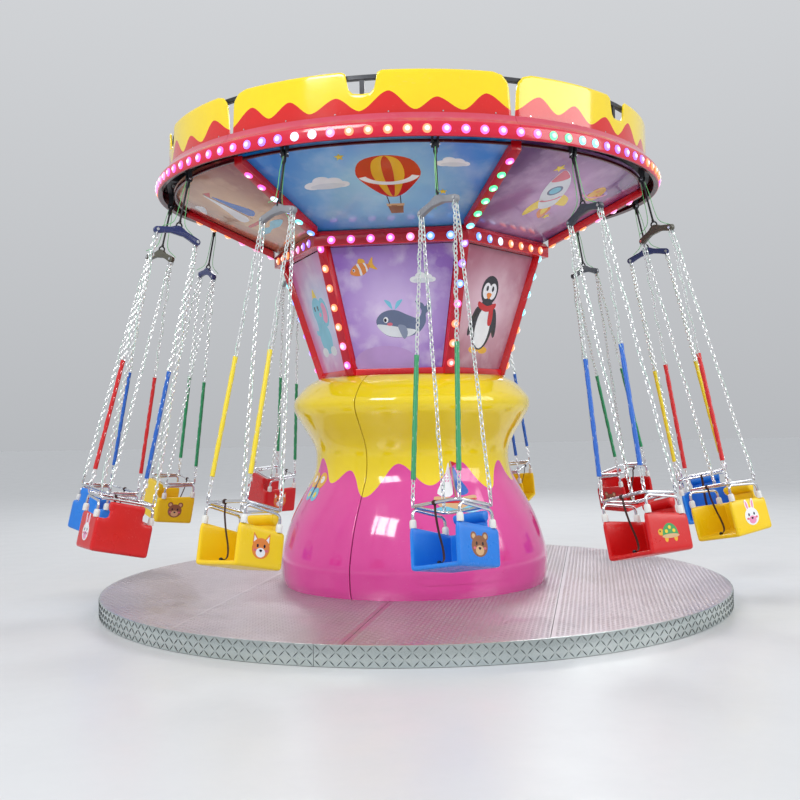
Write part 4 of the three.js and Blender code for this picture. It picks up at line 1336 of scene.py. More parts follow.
@dataclass
class Platform:
    """The round tread-plate platform: four deck strips and an edge band in two halves."""

    radius: float = 1.983
    band: float = 0.0042
    top: float = 0.107
    deck: float = 0.005
    band_foot: float = 0.002
    seam: float = 0.0035
    seam_bearing: float = -10.0
    band_seam: float = -14.0
    strip: float = 0.95
    steps: int = 288
    pitch: float = 0.0242
    band_pitch: float = 0.036
    band_rows: int = 3
    covered: float = 0.835

    def build(self) -> None:
        """Builds the strips, the band and their raised lozenges."""
        skirt = self.radius - self.band - GAP
        edges = (-self.radius, -self.strip, 0.0, self.strip, self.radius)
        turn = Matrix.Rotation(math.radians(self.seam_bearing), 4, "Z")
        for number, name in enumerate(("left_outer", "left_inner", "right_inner", "right_outer")):
            left, right = edges[number] + self.seam / 2, edges[number + 1] - self.seam / 2
            skin = Skin()
            skin.plate(self.strip_outline(left, right, skirt), self.deck,
                       lambda u, v, off: turn @ Vector((u, v, self.top - self.deck / 2 + off)))
            # The deck strips and their lozenges take the aluminium with the painted pink reflection tint.
            data = skin.mesh(name, [TREAD_WITH_PINK_REFLECTION], 30, bevel(0.0005, 1, 60))
            install(f"deck_strip_{name}", data, "stand", "tread_plate", f"deck_plate_{name}")
            spots = self.deck_spots(left, right, skirt, turn)
            data = DECK_LOZENGES.on_spots(name, spots, TREAD_WITH_PINK_REFLECTION, 20)
            install(f"deck_tread_{name}", data, "stand", "tread_plate")
        for name, start in (("right", self.band_seam), ("left", self.band_seam + 180)):
            self.build_band(name, start)
        dress("platform_base", DARK_STEEL)

    def strip_outline(self, left: float, right: float, rim: float) -> list[Flat]:
        """Draws a deck strip's outline, straight at its sides and round at the rim."""
        start, stop = math.asin(max(left / rim, -1)), math.asin(min(right / rim, 1))
        count = max(8, round((stop - start) / math.tau * self.steps))
        front = [(rim * math.sin(a), -rim * math.cos(a)) for a in np.linspace(start, stop, count + 1)]
        return front + [(x, -y) for x, y in reversed(front)]

    def deck_spots(self, left: float, right: float, rim: float, turn: Matrix) -> list[Spot]:
        """Lists the lozenges of a strip, which lean one way and the other in turn."""
        spots = []
        reach = int(rim / self.pitch) + 1
        for i in range(-reach, reach + 1):
            for j in range(-reach, reach + 1):
                u, v = (i + 0.5) * self.pitch, (j + 0.5) * self.pitch
                if left + 0.011 < u < right - 0.011 and self.covered < math.hypot(u, v) < rim - 0.013:
                    lean = math.radians(45 if (i + j) % 2 else -45)
                    along = turn @ Vector((math.cos(lean), math.sin(lean), 0))
                    spots.append(Spot(turn @ Vector((u, v, self.top)), UP, along))
        return spots

    def build_band(self, name: str, start: float) -> None:
        """Builds one half of the edge band, with a rolled top edge, and its lozenges in a darker steel that
        paints their shade.
        """
        gap = math.degrees(0.0012 / self.radius)
        out, low, top, wall = self.radius, self.band_foot, self.top, self.band
        outline = [(out - wall, low), (out - 0.001, low), (out, low + 0.001), (out, top - 0.0025),
                   (out - 0.0008, top - 0.0006), (out - 0.0025, top), (out - wall, top)]
        skin = Skin()
        skin.turned(outline, self.steps // 2, span=(start + gap, start + 180 - gap))
        data = skin.mesh(name, [BAND_PLATE])
        install(f"edge_band_strip_{name}", data, "stand", "tread_plate", f"edge_band_{name}")
        spots = []
        columns = round(math.pi * out / self.band_pitch)
        for column in range(columns):
            bearing = start + (column + 0.5) * 180 / columns
            aim = at_bearing(1, bearing, 0)
            for row in range(self.band_rows):
                along = (aside(aim) + UP * (1 if (row + column) % 2 else -1)).normalized()
                height = blend(low, top, (row + 0.5) / self.band_rows)
                spots.append(Spot(at_bearing(out - 0.0004, bearing, height), aim, along))
        # The lozenges take the darker steel: painted shade on the ribs.
        data = BAND_LOZENGES.on_spots(name, spots, BAND_RIB_SHADE, 20)
        install(f"edge_band_tread_{name}", data, "stand", "tread_plate")


@dataclass
class Pedestal:
    """The moulded pedestal: two glossy shell halves, pink under a wave of yellow, with a low hatch."""

    profile: tuple[Flat, ...] = (
        (0.845, 0.1073), (0.857, 0.150), (0.860, 0.200), (0.860, 0.295), (0.829, 0.415), (0.785, 0.535),
        (0.735, 0.632), (0.684, 0.724), (0.648, 0.790), (0.631, 0.855), (0.628, 0.936), (0.641, 0.990),
        (0.665, 1.041), (0.701, 1.099), (0.736, 1.157), (0.760, 1.200), (0.770, 1.245), (0.763, 1.278),
        (0.744, 1.306), (0.705, 1.351), (0.676, 1.378), (0.646, 1.396), (0.600, 1.420))
    wave: tuple[Flat, ...] = (
        (-180, 0.742), (-166, 0.872), (-151, 0.752), (-137, 0.905), (-122, 0.735), (-107, 0.862),
        (-93, 0.748), (-78, 0.725), (-63.8, 0.915), (-49.2, 0.765), (-36.7, 0.845), (-24.6, 0.690),
        (-7.7, 0.885),
        (8.9, 0.755), (26.6, 0.890), (43.3, 0.720), (58, 0.885), (71, 0.752), (84.5, 0.875), (99, 0.738),
        (114, 0.895), (130, 0.748), (146, 0.868), (163, 0.728), (180, 0.742))
    seam_edge: tuple[Flat, ...] = ((0.0, 0.0030), (0.0010, 0.0012), (0.0026, 0.0003), (0.0050, 0.0))
    wall: float = 0.008
    seam_bearing: float = -26.0
    seam: float = 0.0045
    seam_radius: float = 0.7
    columns: int = 132
    lower_rows: int = 44
    upper_rows: int = 50
    hatch_span: Flat = (2.0, 38.0)
    hatch_height: Flat = (0.195, 0.571)
    hatch_lift: float = 0.0031
    hatch_wall: float = 0.003
    hatch_corner: float = 0.035
    hatch_radius: float = 0.82
    print_radius: float = 0.70
    prints: tuple[tuple, ...] = (
        (Motifs.sailboat, 21, 0.745, 0.155), (Motifs.butterfly, -64, 0.735, 0.120),
        (Motifs.turtle, 112, 0.700, 0.140), (Motifs.fish, -158, 0.700, 0.140))

    def __post_init__(self) -> None:
        """Draws the smooth profile once."""
        self.line = np.array(smooth_line(self.profile, 8))

    def radius_at(self, height: float) -> float:
        """Returns the skin's radius at a height."""
        return float(np.interp(height, self.line[:, 1], self.line[:, 0]))

    def skin_normal(self, bearing: float, height: float) -> Vector:
        """Returns the direction that the skin faces at a bearing and height."""
        step = 0.004
        slope = (self.radius_at(height + step) - self.radius_at(height - step)) / (2 * step)
        return (at_bearing(1, bearing, 0) - UP * slope).normalized()

    def skin_point(self, bearing: float, height: float, lift: float) -> Vector:
        """Places a point on the skin, or off it by a lift."""
        return at_bearing(self.radius_at(height), bearing, height) + self.skin_normal(bearing, height) * lift

    def build(self) -> None:
        """Builds the two halves, the hatch and its screws, the prints and the mast's finish."""
        for name, start in (("right", self.seam_bearing), ("left", self.seam_bearing + 180)):
            self.build_half(name, start)
        self.build_hatch()
        art = Artwork(lambda u, v, lift: self.skin_point(math.degrees(u / self.print_radius), v, lift), 0.02)
        for draw, bearing, height, size in self.prints:
            art.motif(draw(), (math.radians(bearing) * self.print_radius, height), size)
        art.install_print("pedestal_print", "pedestal_print", "pedestal_pink")
        dress("centre_mast", DARK_STEEL)

    def build_half(self, name: str, start: float) -> None:
        """Builds one half as a closed shell whose rows follow the wave.

        Args:
            name: The half's name.
            start: The bearing of the seam that it starts at.
        """
        foot, head = self.profile[0][1], self.profile[-1][1]
        stations = []
        last = self.columns + 2 * len(self.seam_edge)
        for column in range(last + 1):
            near = min(column, last - column)
            inset, drop = self.seam_edge[near] if near < len(self.seam_edge) else (0.008, 0.0)
            offset = math.degrees((self.seam / 2 + inset) / self.seam_radius)
            share = min(max((column - len(self.seam_edge)) / self.columns, 0), 1)
            stations.append((blend(start + offset, start + 180 - offset, share), drop))
        outer, inner = [], []
        for row in range(self.lower_rows + self.upper_rows + 1):
            outer.append([])
            inner.append([])
            for bearing, drop in stations:
                wave = swell(self.wave, (bearing + 180) % 360 - 180)
                if row <= self.lower_rows:
                    height = blend(foot, wave, row / self.lower_rows)
                else:
                    height = blend(wave, head, (row - self.lower_rows) / self.upper_rows)
                radius = self.radius_at(height)
                outer[-1].append(at_bearing(radius - drop, bearing, height))
                inner[-1].append(at_bearing(radius - self.wall, bearing, min(height, head - 0.001)))
        skin = Skin()
        skin.shell(outer, inner, [0] * self.lower_rows + [1] * self.upper_rows)
        install(f"pedestal_shell_{name}", skin.mesh(name, [PINK_SHELL, YELLOW_SHELL], 40), "stand",
                "pedestal_pink", f"pedestal_half_{name}")

    def build_hatch(self) -> None:
        """Builds the hatch plate, which follows the skin and has round corners, and its screws."""
        low, high = self.hatch_height
        left, right = self.hatch_span
        corner, middle = self.hatch_corner, (left + right) / 2
        half = math.radians(right - left) / 2 * self.hatch_radius
        heights = [*np.linspace(low, low + corner, 7)[:-1], *np.linspace(low + corner, high - corner, 25),
                   *np.linspace(high - corner, high, 7)[1:]]
        sheets = []
        for lift in (self.hatch_lift, self.hatch_lift - self.hatch_wall):
            sheets.append([])
            for height in heights:
                near = min(height - low, high - height, corner)
                reach = half - corner + math.sqrt(max(corner ** 2 - (corner - near) ** 2, 0))
                bearings = [middle + math.degrees(share * reach / self.hatch_radius)
                            for share in np.linspace(-1, 1, 25)]
                sheets[-1].append([self.skin_point(bearing, height, lift) for bearing in bearings])
        skin = Skin()
        skin.shell(*sheets)
        install("pedestal_hatch_cover", skin.mesh("hatch", [PINK_SHELL], 50), "stand", "pedestal_pink",
                "pedestal_hatch")
        places_on = [(s, h) for s in (-0.93, 0.93) for h in (low + 0.05, (low + high) / 2, high - 0.05)]
        places_on += [(s, h) for s in (-0.35, 0.35) for h in (low + 0.016, high - 0.016)]
        spots = []
        for share, height in places_on:
            bearing = middle + math.degrees(share * half / self.hatch_radius)
            aim = self.skin_normal(bearing, height)
            spots.append(Spot(self.skin_point(bearing, height, self.hatch_lift), aim, aim.orthogonal()))
        install("hatch_screws", SCREWS.on_spots("hatch_screws", spots, PINK_SHELL), "stand", "pedestal_pink")


class LampColours:
    """The colours that the lamps show, a letter for each lamp, side by side."""

    LIGHTS = {"m": (1.0, 0.07, 0.55), "p": (1.0, 0.2, 0.5), "o": (1.0, 0.22, 0.04), "r": (1.0, 0.06, 0.03),
              "g": (0.04, 0.9, 0.28), "c": (0.15, 0.8, 0.95), "b": (0.1, 0.3, 1.0), "v": (0.3, 0.12, 1.0),
              "i": (0.55, 0.75, 1.0)}
    RIM = ((-160, "g"), (-140, "c"), (-120, "v"), (-100, "m"), (-80, "o"), (-62, "p"), (-33, "m"), (-24, "v"),
           (-17, "i"), (-11.5, "p"), (6.5, "o"), (25, "m"), (35, "g"), (40, "c"), (57, "v"), (75, "o"),
           (100, "m"), (118, "g"), (140, "b"), (160, "v"), (181, "o"))
    DRUM_RIBS = ("vvbmoor", "ccccooo", "ggccbvv", "ooppmmv", "ccbbvvm", "moooopm")
    NECKS = ("bbioooo", "ccccccc", "ggggccc", "vvvmmmm", "oooppvv", "mmmmpbb")
    CEILING_RIBS = ("cggggm", "oooppp", "vvvvvv", "cccbbb", "pppooo", "bcbimm")

    @classmethod
    def rim(cls, bearing: float) -> Colour:
        """Returns the colour of the rim's lamp at a bearing."""
        turn = (bearing + 180) % 360 - 180
        return cls.LIGHTS[next(letter for limit, letter in cls.RIM if turn < limit)]


@dataclass
class LampDrum:
    """The six-sided drum on the pedestal: a red lamp box frame and its lit domes."""

    foot_corner: float = 0.610
    foot_inner: float = 0.500
    foot: Flat = (1.4203, 1.460)
    neck_corner: float = 0.910
    neck_inner: float = 0.840
    neck: Flat = (2.176, 2.266)
    lip_height: float = 2.241
    lip_drop: float = 0.020
    rib_width: float = 0.065
    rib_depth: float = 0.055
    rib_top: Flat = (0.858, 2.190)
    hub: tuple[float, float, float, float] = (0.1125, 0.150, 2.215, 2.265)
    spoke: tuple[float, float, float] = (0.040, 2.225, 2.255)
    rib_lamps: Flat = (2.168, 1.4835)
    neck_lamps: Flat = (-0.3515, 0.3515)
    neck_lamp_height: float = 2.2085

    def build(self) -> None:
        """Builds the frame and its lamps."""
        skin = Skin()
        foot_low, foot_high = self.foot
        self.hexagon_ring(skin, [(self.foot_inner, foot_low), (self.foot_corner, foot_low),
                                 (self.foot_corner, foot_high), (self.foot_inner, foot_high)], [0] * 4)
        neck_low, neck_high = self.neck
        corner = self.neck_corner
        self.hexagon_ring(skin, [(self.neck_inner, neck_low), (corner - 0.004, neck_low),
                                 (corner, neck_low + 0.004), (corner, self.lip_height),
                                 (corner - self.lip_drop, neck_high), (self.neck_inner, neck_high)],
                          [0, 0, 1, 0, 0, 0])
        inner, outer, low, high = self.hub
        skin.turned([(inner, low), (outer, low), (outer, high), (inner, high)], 48)
        rib_foot = foot_low + 0.001
        rib = [(self.foot_corner - self.rib_depth, rib_foot), (self.foot_corner + 0.001, rib_foot),
               self.rib_top, (self.rib_top[0] - self.rib_depth, self.rib_top[1])]
        width, low, high = self.spoke
        near, far = outer - 0.01, self.neck_inner + 0.01
        spoke = [(near, low), (far, low), (far, high), (near, high)]
        for side in range(SIDES):
            place = radial_place(BOX_CORNER + side * 60)
            skin.plate(rib, self.rib_width, place, front=1)
            skin.plate(spoke, width, place)
        data = skin.mesh("drum_box", [BOX_RED, BOX_FACE], 30, bevel(0.0022, 2, 50))
        install("drum_lamp_box", data, "stand", "lamp_box_red", "drum_frame")
        lamps = LAMPS.on_spots("drum_lamps", self.lamp_spots(), LAMP, 60)
        install("drum_lamps", lamps, "stand", "lamp_box_red")

    def hexagon_ring(self, skin: Skin, outline: Sequence[Flat], finishes: Sequence[int]) -> None:
        """Adds a six-sided ring whose outline is drawn at a corner.

        Args:
            skin: The skin to add to.
            outline: Corner radius and height of each point.
            finishes: A finish number for each stretch of the outline.
        """
        rows = [[at_bearing(r, BOX_CORNER + side * 60, z) for side in range(SIDES)] for r, z in outline]
        skin.grid(rows, around=True, over=True, finishes=finishes)

    def lamp_spots(self) -> list[Spot]:
        """Lists the lamps of the ribs and of the neck, with their colours."""
        spots = []
        foot = Vector((self.foot_corner + 0.001, 0, self.foot[0] + 0.001))
        run = Vector((self.rib_top[0], 0, self.rib_top[1])) - foot
        facing = Vector((run.z, 0, -run.x)).normalized()
        apothem = self.neck_corner * math.cos(math.radians(30))
        for side in range(SIDES):
            bearing = BOX_CORNER + side * 60
            turn = Matrix.Rotation(math.radians(bearing - 90), 3, "Z")
            for number, letter in enumerate(LampColours.DRUM_RIBS[side]):
                at = foot + run * ((blend(*self.rib_lamps, number / 6) - foot.z) / run.z)
                spots.append(Spot(turn @ at, turn @ facing, turn @ run.normalized(),
                                  LampColours.LIGHTS[letter]))
            out = at_bearing(1, bearing + 30, 0)
            across = aside(out)
            for number, letter in enumerate(LampColours.NECKS[side]):
                at = out * apothem + across * blend(*self.neck_lamps, number / 6) + UP * self.neck_lamp_height
                spots.append(Spot(at, out, across, LampColours.LIGHTS[letter]))
        return spots


class Boards:
    """The printed boards' grounds and motifs, side by side."""

    CEILING_GROUNDS = (
        ("purple", "5c2e68", "c496c8", "e2bee2", 0.35), ("amber", "ce7828", "f6d68c", "fff0c8", 0.3),
        ("teal", "1a788c", "96dcdc", "dcfaf6", 0.35), ("rose", "aa3c64", "f0b4c8", "ffe6ec", 0.3),
        ("crimson", "801a28", "deb284", "ecc496", 0.35), ("sky", "1e80d6", "9ed4f0", "e2f2fc", 0.25))
    DRUM_GROUNDS = (
        ("mauve", "a65c74", "e2becc", "f0dce4", 0.3), ("aqua", "3c96be", "bee6f0", "ecfafc", 0.4),
        ("lilac", "826ebe", "d6ccee", "f4f0fc", 0.45), ("coral", "d66e60", "f6cebe", "ffece4", 0.35),
        ("blush", "d682be", "bed6f0", "faecf8", 0.4), ("lavender", "8e60c0", "ceb6e8", "f6f0fc", 0.5))
    CEILING_ART = (
        ((Motifs.rocket, -10, 2, 27, 38), (Motifs.planet, 26, 14, 13), (Motifs.small_star, 10, -16, 3),
         (Motifs.small_star, -32, 24, 3.5), (Motifs.small_star, 38, -5, 2.5)),
        ((Motifs.rainbow, 0, 2, 30), (Motifs.cloud, -36, 24, 9)),
        ((Motifs.whale, 0, 0, 24), (Motifs.cloud, 34, 24, 9)),
        ((Motifs.butterfly, -8, 2, 20, 14), (Motifs.butterfly, 30, 20, 10, -20)),
        ((Motifs.sailboat, 5, 2, 25), (Motifs.cloud, -34, 22, 10)),
        ((Motifs.balloon, 6, 0, 27), (Motifs.cloud, -30, 6, 13), (Motifs.cloud, 42, 20, 9),
         (Motifs.small_star, -18, 28, 2.8), (Motifs.small_star, 34, -6, 2.2)))
    DRUM_ART = (
        ((Motifs.penguin, -3, -2, 25),),
        ((Motifs.fish, 0, 6, 17), (Motifs.small_star, -12, 26, 3.5)),
        ((Motifs.moon, 2, 6, 19), (Motifs.small_star, 16, 22, 3), (Motifs.small_star, -18, -12, 2.5)),
        ((Motifs.balloon, 0, 6, 22), (Motifs.cloud, -12, -22, 8)),
        ((Motifs.elephant, -2, -5, 22),),
        ((Motifs.mound, -8, -33, 19), (Motifs.whale, 3, -9, 16.5), (Motifs.fish, -19, 24, 8.5, 20),
         (Motifs.cloud, 17, 17, 7.5)))

    @staticmethod
    def ground(place: str, row: tuple, centre: Vector, reach: float) -> PrintedGround:
        """Returns the finish of one board's ground.

        Args:
            place: Where the board is, for the finish's name.
            row: The ground's name, its three colours as codes, and how cloudy it is.
            centre: The middle of its glow.
            reach: How far the glow reaches.

        Returns:
            The finish.
        """
        name, edge, middle, cloud, cloudiness = row
        return PrintedGround(f"{place}_ground_{name}", hue(edge), hue(middle), centre=tuple(centre),
                             reach=reach, cloud=hue(cloud), cloudiness=cloudiness, **BOARD)


@dataclass
class DrumBoards:
    """The six printed boards of the drum: satin boards with a fine edge, and their motifs."""

    foot: float = 1.4603
    top: float = 2.1757
    base_corner: Flat = (0.610, 1.4203)
    top_corner: Flat = (0.858, 2.190)
    inset: float = 0.022

    def face_point(self, side: int, u: float, v: float, lift: float) -> Vector:
        """Places a point on a board's face.

        Args:
            side: The board's number.
            u: Distance to the right of its middle line, seen from outside.
            v: Distance above its middle.
            lift: Distance off its face.

        Returns:
            The point.
        """
        out = at_bearing(1, BOX_CORNER + 30 + side * 60, 0)
        half = math.cos(math.radians(30))
        slope = half * (self.top_corner[0] - self.base_corner[0]) / (self.top_corner[1] - self.base_corner[1])
        height = (self.foot + self.top) / 2 + v / math.hypot(1, slope)
        face = half * self.base_corner[0] + slope * (height - self.base_corner[1]) - self.inset
        return out * face + aside(out) * u + UP * height + (out - UP * slope).normalized() * lift

    def build(self) -> None:
        """Gives each board its ground, and prints its motifs on it."""
        for side, name in enumerate(SIDE_NAMES):
            node = f"drum_board_{name}"
            low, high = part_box(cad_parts[node].name)
            dress(node, Boards.ground("drum", Boards.DRUM_GROUNDS[side], (low + high) / 2, 0.42))
            art = Artwork(lambda u, v, lift, side=side: self.face_point(side, u, v, lift), 1.0)
            art.motifs(Boards.DRUM_ART[side])
            art.install_print(f"drum_print_{name}", name)


@dataclass
class Ceiling:
    """The ceiling: six red lamp boxes and a hoop, with printed boards between them."""

    inner: Flat = (0.866, 2.2663)
    outer: Flat = (1.505, 2.5954)
    thickness: float = 0.006
    margin: float = 0.02
    rib_width: float = 0.060
    rib_depth: float = 0.050
    rib_start: float = 0.9103
    rib_end: float = 1.506
    seat: float = 0.0008
    hoop: tuple[float, float, float, float] = (1.490, 1.504, 2.570, 2.585)
    lamp_span: Flat = (0.936, 1.428)
    columns: int = 40
    rows: int = 10

    def height_at(self, radius: float) -> float:
        """Returns the height of the boards' underside above a rib, at a radius."""
        share = (radius - self.inner[0]) / (self.outer[0] - self.inner[0])
        return blend(self.inner[1], self.outer[1], share)

    def board_point(self, side: int, across: float, outwards: float, lift: float) -> Vector:
        """Places a point on a board's underside.

        Args:
            side: The board's number.
            across: From -1 at its left edge to 1 at its right edge, seen from below at the front.
            outwards: From 0 at its inner edge to 1 at its outer edge.
            lift: Distance above the underside.

        Returns:
            The point.
        """
        start = BOX_CORNER + side * 60 + self.margin
        stop = BOX_CORNER + (side + 1) * 60 - self.margin
        share = (across + 1) / 2
        near = at_bearing(self.inner[0], start, self.inner[1])
        near = near.lerp(at_bearing(self.inner[0], stop, self.inner[1]), share)
        far = at_bearing(self.outer[0], blend(start, stop, share), self.outer[1])
        return near.lerp(far, outwards) + UP * lift

    def build(self) -> None:
        """Builds the ribs and the hoop, their lamps, and the boards."""
        skin = Skin()
        inner, outer, low, high = self.hoop
        # The hoop takes finish 2, the dark red that paints its shade.
        skin.turned([(inner, low), (outer, low), (outer, high), (inner, high)], 144, finish=2)
        start, end = self.height_at(self.rib_start), self.height_at(self.rib_end)
        rib = [(self.rib_start, start - self.rib_depth), (self.rib_end, end - self.rib_depth),
               (self.rib_end, end - self.seat), (self.rib_start, start - self.seat)]
        for side in range(SIDES):
            skin.plate(rib, self.rib_width, radial_place(BOX_CORNER + side * 60), front=0)
        data = skin.mesh("ceiling_box", [BOX_RED, BOX_FACE, SOFFIT_SHADE], 30, bevel(0.0022, 2, 50))
        install("ceiling_lamp_box", data, "stand", "lamp_box_red", "ceiling_frame")
        lamps = LAMPS.on_spots("ceiling_lamps", self.lamp_spots(), LAMP, 60)
        install("ceiling_lamps", lamps, "stand", "lamp_box_red")
        for side, name in enumerate(SIDE_NAMES):
            self.build_board(side, name)

    def build_board(self, side: int, name: str) -> None:
        """Builds one smooth printed board."""
        sheets = [[[self.board_point(side, across, outwards, lift)
                    for across in np.linspace(-1, 1, self.columns + 1)]
                   for outwards in np.linspace(0, 1, self.rows + 1)] for lift in (0.0, self.thickness)]
        skin = Skin()
        skin.shell(*sheets)
        ground = Boards.ground("ceiling", Boards.CEILING_GROUNDS[side],
                               self.board_point(side, 0, 0.5, 0), 0.62)
        install(f"ceiling_panel_{name}", skin.mesh(name, [ground]), "stand", "printed_board",
                f"ceiling_board_{name}")
        art = Artwork(lambda u, v, lift: self.print_point(side, u, v, lift), 0.05)
        art.motifs(Boards.CEILING_ART[side])
        art.install_print(f"ceiling_print_{name}", name)

    def print_point(self, side: int, u: float, v: float, lift: float) -> Vector:
        """Places a printed point under a board, by how far right and outwards of its middle it is."""
        near, far = self.inner[0] / 2, self.outer[0] * math.radians(30)
        depth = math.hypot(self.outer[0] - self.inner[0] * math.cos(math.radians(30)),
                           self.outer[1] - self.inner[1])
        outwards = 0.5 + v / depth
        return self.board_point(side, u / blend(near, far, outwards), outwards, -lift)

    def lamp_spots(self) -> list[Spot]:
        """Lists the lamps of the ribs, with their colours."""
        spots = []
        slope = (self.outer[1] - self.inner[1]) / (self.outer[0] - self.inner[0])
        run, facing = Vector((1, 0, slope)).normalized(), Vector((slope, 0, -1)).normalized()
        for side in range(SIDES):
            turn = Matrix.Rotation(math.radians(BOX_CORNER + side * 60 - 90), 3, "Z")
            for number, letter in enumerate(LampColours.CEILING_RIBS[side]):
                radius = blend(*self.lamp_span, number / 5)
                at = Vector((radius, 0, self.height_at(radius) - self.rib_depth))
                spots.append(Spot(turn @ at, turn @ facing, turn @ run, LampColours.LIGHTS[letter]))
        return spots


@dataclass
class Canopy:
    """The lamp rim, the crown plates above it, and the roof with its hoop."""

    band: tuple[Flat, ...] = (
        (1.5740, 2.5790), (1.5820, 2.5765), (1.5900, 2.5740), (1.5955, 2.5722), (1.6000, 2.5724),
        (1.6038, 2.5745), (1.6060, 2.5790), (1.6058, 2.6000), (1.6052, 2.6250), (1.6045, 2.6440),
        (1.6005, 2.6515), (1.5920, 2.6575), (1.5800, 2.6640), (1.5700, 2.6725), (1.5620, 2.6830),
        (1.5560, 2.6950), (1.5500, 2.7095), (1.4900, 2.7095), (1.4900, 2.6980), (1.5440, 2.6980),
        (1.5740, 2.6600))
    lamp_radius: float = 1.6055
    lamp_height: float = 2.6100
    lamp_count: int = 102
    first_lamp: float = -35.1
    plate_radius: float = 1.530
    plate_wall: float = 0.012
    plate_foot: float = 2.7103
    plate_top: float = 2.940
    slot_foot: float = 0.020
    slot_top: float = 0.050
    edge_round: float = 0.010
    lower: int = 5
    upper: int = 6
    near_top: tuple[float, ...] = (0.0, 0.0006, 0.0022, 0.0050, 0.0100, 0.0200, 0.0350)
    top_edge: tuple[Flat, ...] = (
        (0.0, 0.120), (0.045, 0.116), (0.066, 0.094), (0.076, 0.050), (0.084, 0.012), (0.106, 0.0),
        (0.690, 0.0), (0.740, 0.014), (0.768, 0.048), (0.776, 0.095))
    wave: tuple[Flat, ...] = (
        (-29.6, 2.742), (-23.8, 2.830), (-19.3, 2.751), (-14.8, 2.818), (-10.2, 2.739), (-5.0, 2.806),
        (-0.4, 2.731), (5.2, 2.831), (10.2, 2.730), (14.4, 2.796), (19.3, 2.730), (24.2, 2.822),
        (29.6, 2.740))
    roof_foot: float = 2.7103
    roof_peak: float = 2.7603
    roof_flat: float = 0.150
    roof_edge: float = 1.512
    roof_wall: float = 0.008
    roof_seams: int = 12

    def build(self) -> None:
        """Builds the rim, its lamps, the crown plates and the roof."""
        self.build_rim()
        for side, name in enumerate(SIDE_NAMES):
            self.build_plate(CROWN_SLOT + 30 + side * 60, name)
        self.build_roof()
        self.add_bolts()

    def build_rim(self) -> None:
        """Builds the rim in six mouldings with a fine joint between them, and its lamps."""
        # Finish 2 is the dark red of painted shade, on the rim's underside and inner faces; the band is red
        # and the cove pink.
        finishes = [2] * 4 + [1] * 6 + [0] * 6 + [2] * 5
        gap = math.degrees(0.0011 / self.lamp_radius)
        skin = Skin()
        for side in range(SIDES):
            start = CROWN_SLOT + side * 60
            skin.turned(self.band, 48, span=(start + gap, start + 60 - gap), finishes=finishes)
        data = skin.mesh("rim", [COVE_PINK, BAND_RED, SOFFIT_SHADE], 50)
        install("lamp_rim_cove", data, "stand", "rim_red", "lamp_rim")
        spots = []
        for number in range(self.lamp_count):
            bearing = self.first_lamp + number * 360 / self.lamp_count
            aim = at_bearing(1, bearing, 0)
            spots.append(Spot(at_bearing(self.lamp_radius, bearing, self.lamp_height), aim, aside(aim),
                              LampColours.rim(bearing)))
        install("rim_lamps", LAMPS.on_spots("rim_lamps", spots, LAMP, 60), "stand", "rim_red")

    def plate_height(self, row: int, wave: float, top: float) -> float:
        """Returns the height of a row of a crown plate, below, on or above its wave.

        Args:
            row: The row's number from the foot.
            wave: The wave's height there.
            top: The height of the top edge there.

        Returns:
            The height.
        """
        if row <= self.lower:
            return blend(self.plate_foot, wave, row / self.lower)
        if row < self.lower + self.upper:
            return blend(wave, top - self.near_top[-1], (row - self.lower) / self.upper)
        return top - self.near_top[len(self.near_top) - 1 - (row - self.lower - self.upper)]

    def build_plate(self, middle: float, name: str) -> None:
        """Builds one crown plate: red waves under yellow, with rolled edges.

        Args:
            middle: The bearing of its middle.
            name: The plate's name.
        """
        reach = self.top_edge[-1][0]
        foot_reach = reach + (self.slot_top - self.slot_foot) / 2
        halves = sorted({*np.linspace(0.0, 0.12, 21), *np.linspace(0.12, 0.68, 47),
                         *np.linspace(0.68, reach, 17)})
        along = [-v for v in reversed(halves) if v > 0] + halves
        count = self.lower + self.upper + len(self.near_top)
        sheets: tuple[list, list] = ([], [])
        for row in range(count):
            for sheet in sheets:
                sheet.append([])
            for distance in along:
                top = self.plate_top - read_off(self.top_edge, abs(distance))
                wave = min(swell(self.wave, math.degrees(distance / self.plate_radius), 0.75), top - 0.040)
                height = self.plate_height(row, wave, top)
                rise = (height - self.plate_foot) / (self.plate_top - self.plate_foot)
                half = blend(foot_reach, reach, rise)
                place = distance / reach * half
                bend = self.edge_round
                edge = min(top - height, half - abs(place), bend)
                drop = min(bend - math.sqrt(max(bend ** 2 - (bend - edge) ** 2, 0)),
                           self.plate_wall / 2 - 0.0004)
                turn = middle + math.degrees(place / self.plate_radius)
                sheets[0][-1].append(at_bearing(self.plate_radius - drop, turn, height))
                sheets[1][-1].append(at_bearing(self.plate_radius - self.plate_wall + drop, turn, height))
        skin = Skin()
        skin.shell(*sheets, strips=[1] * self.lower + [0] * (count - 1 - self.lower))
        data = skin.mesh(name, [CROWN_YELLOW, CROWN_RED], 50)
        install(f"crown_plate_{name}", data, "stand", "crown_yellow", f"crown_piece_{name}")

    def roof_slope(self) -> float:
        """Returns how much the roof rises for each metre outwards."""
        return (self.roof_foot - self.roof_peak) / (self.roof_edge - self.roof_flat)

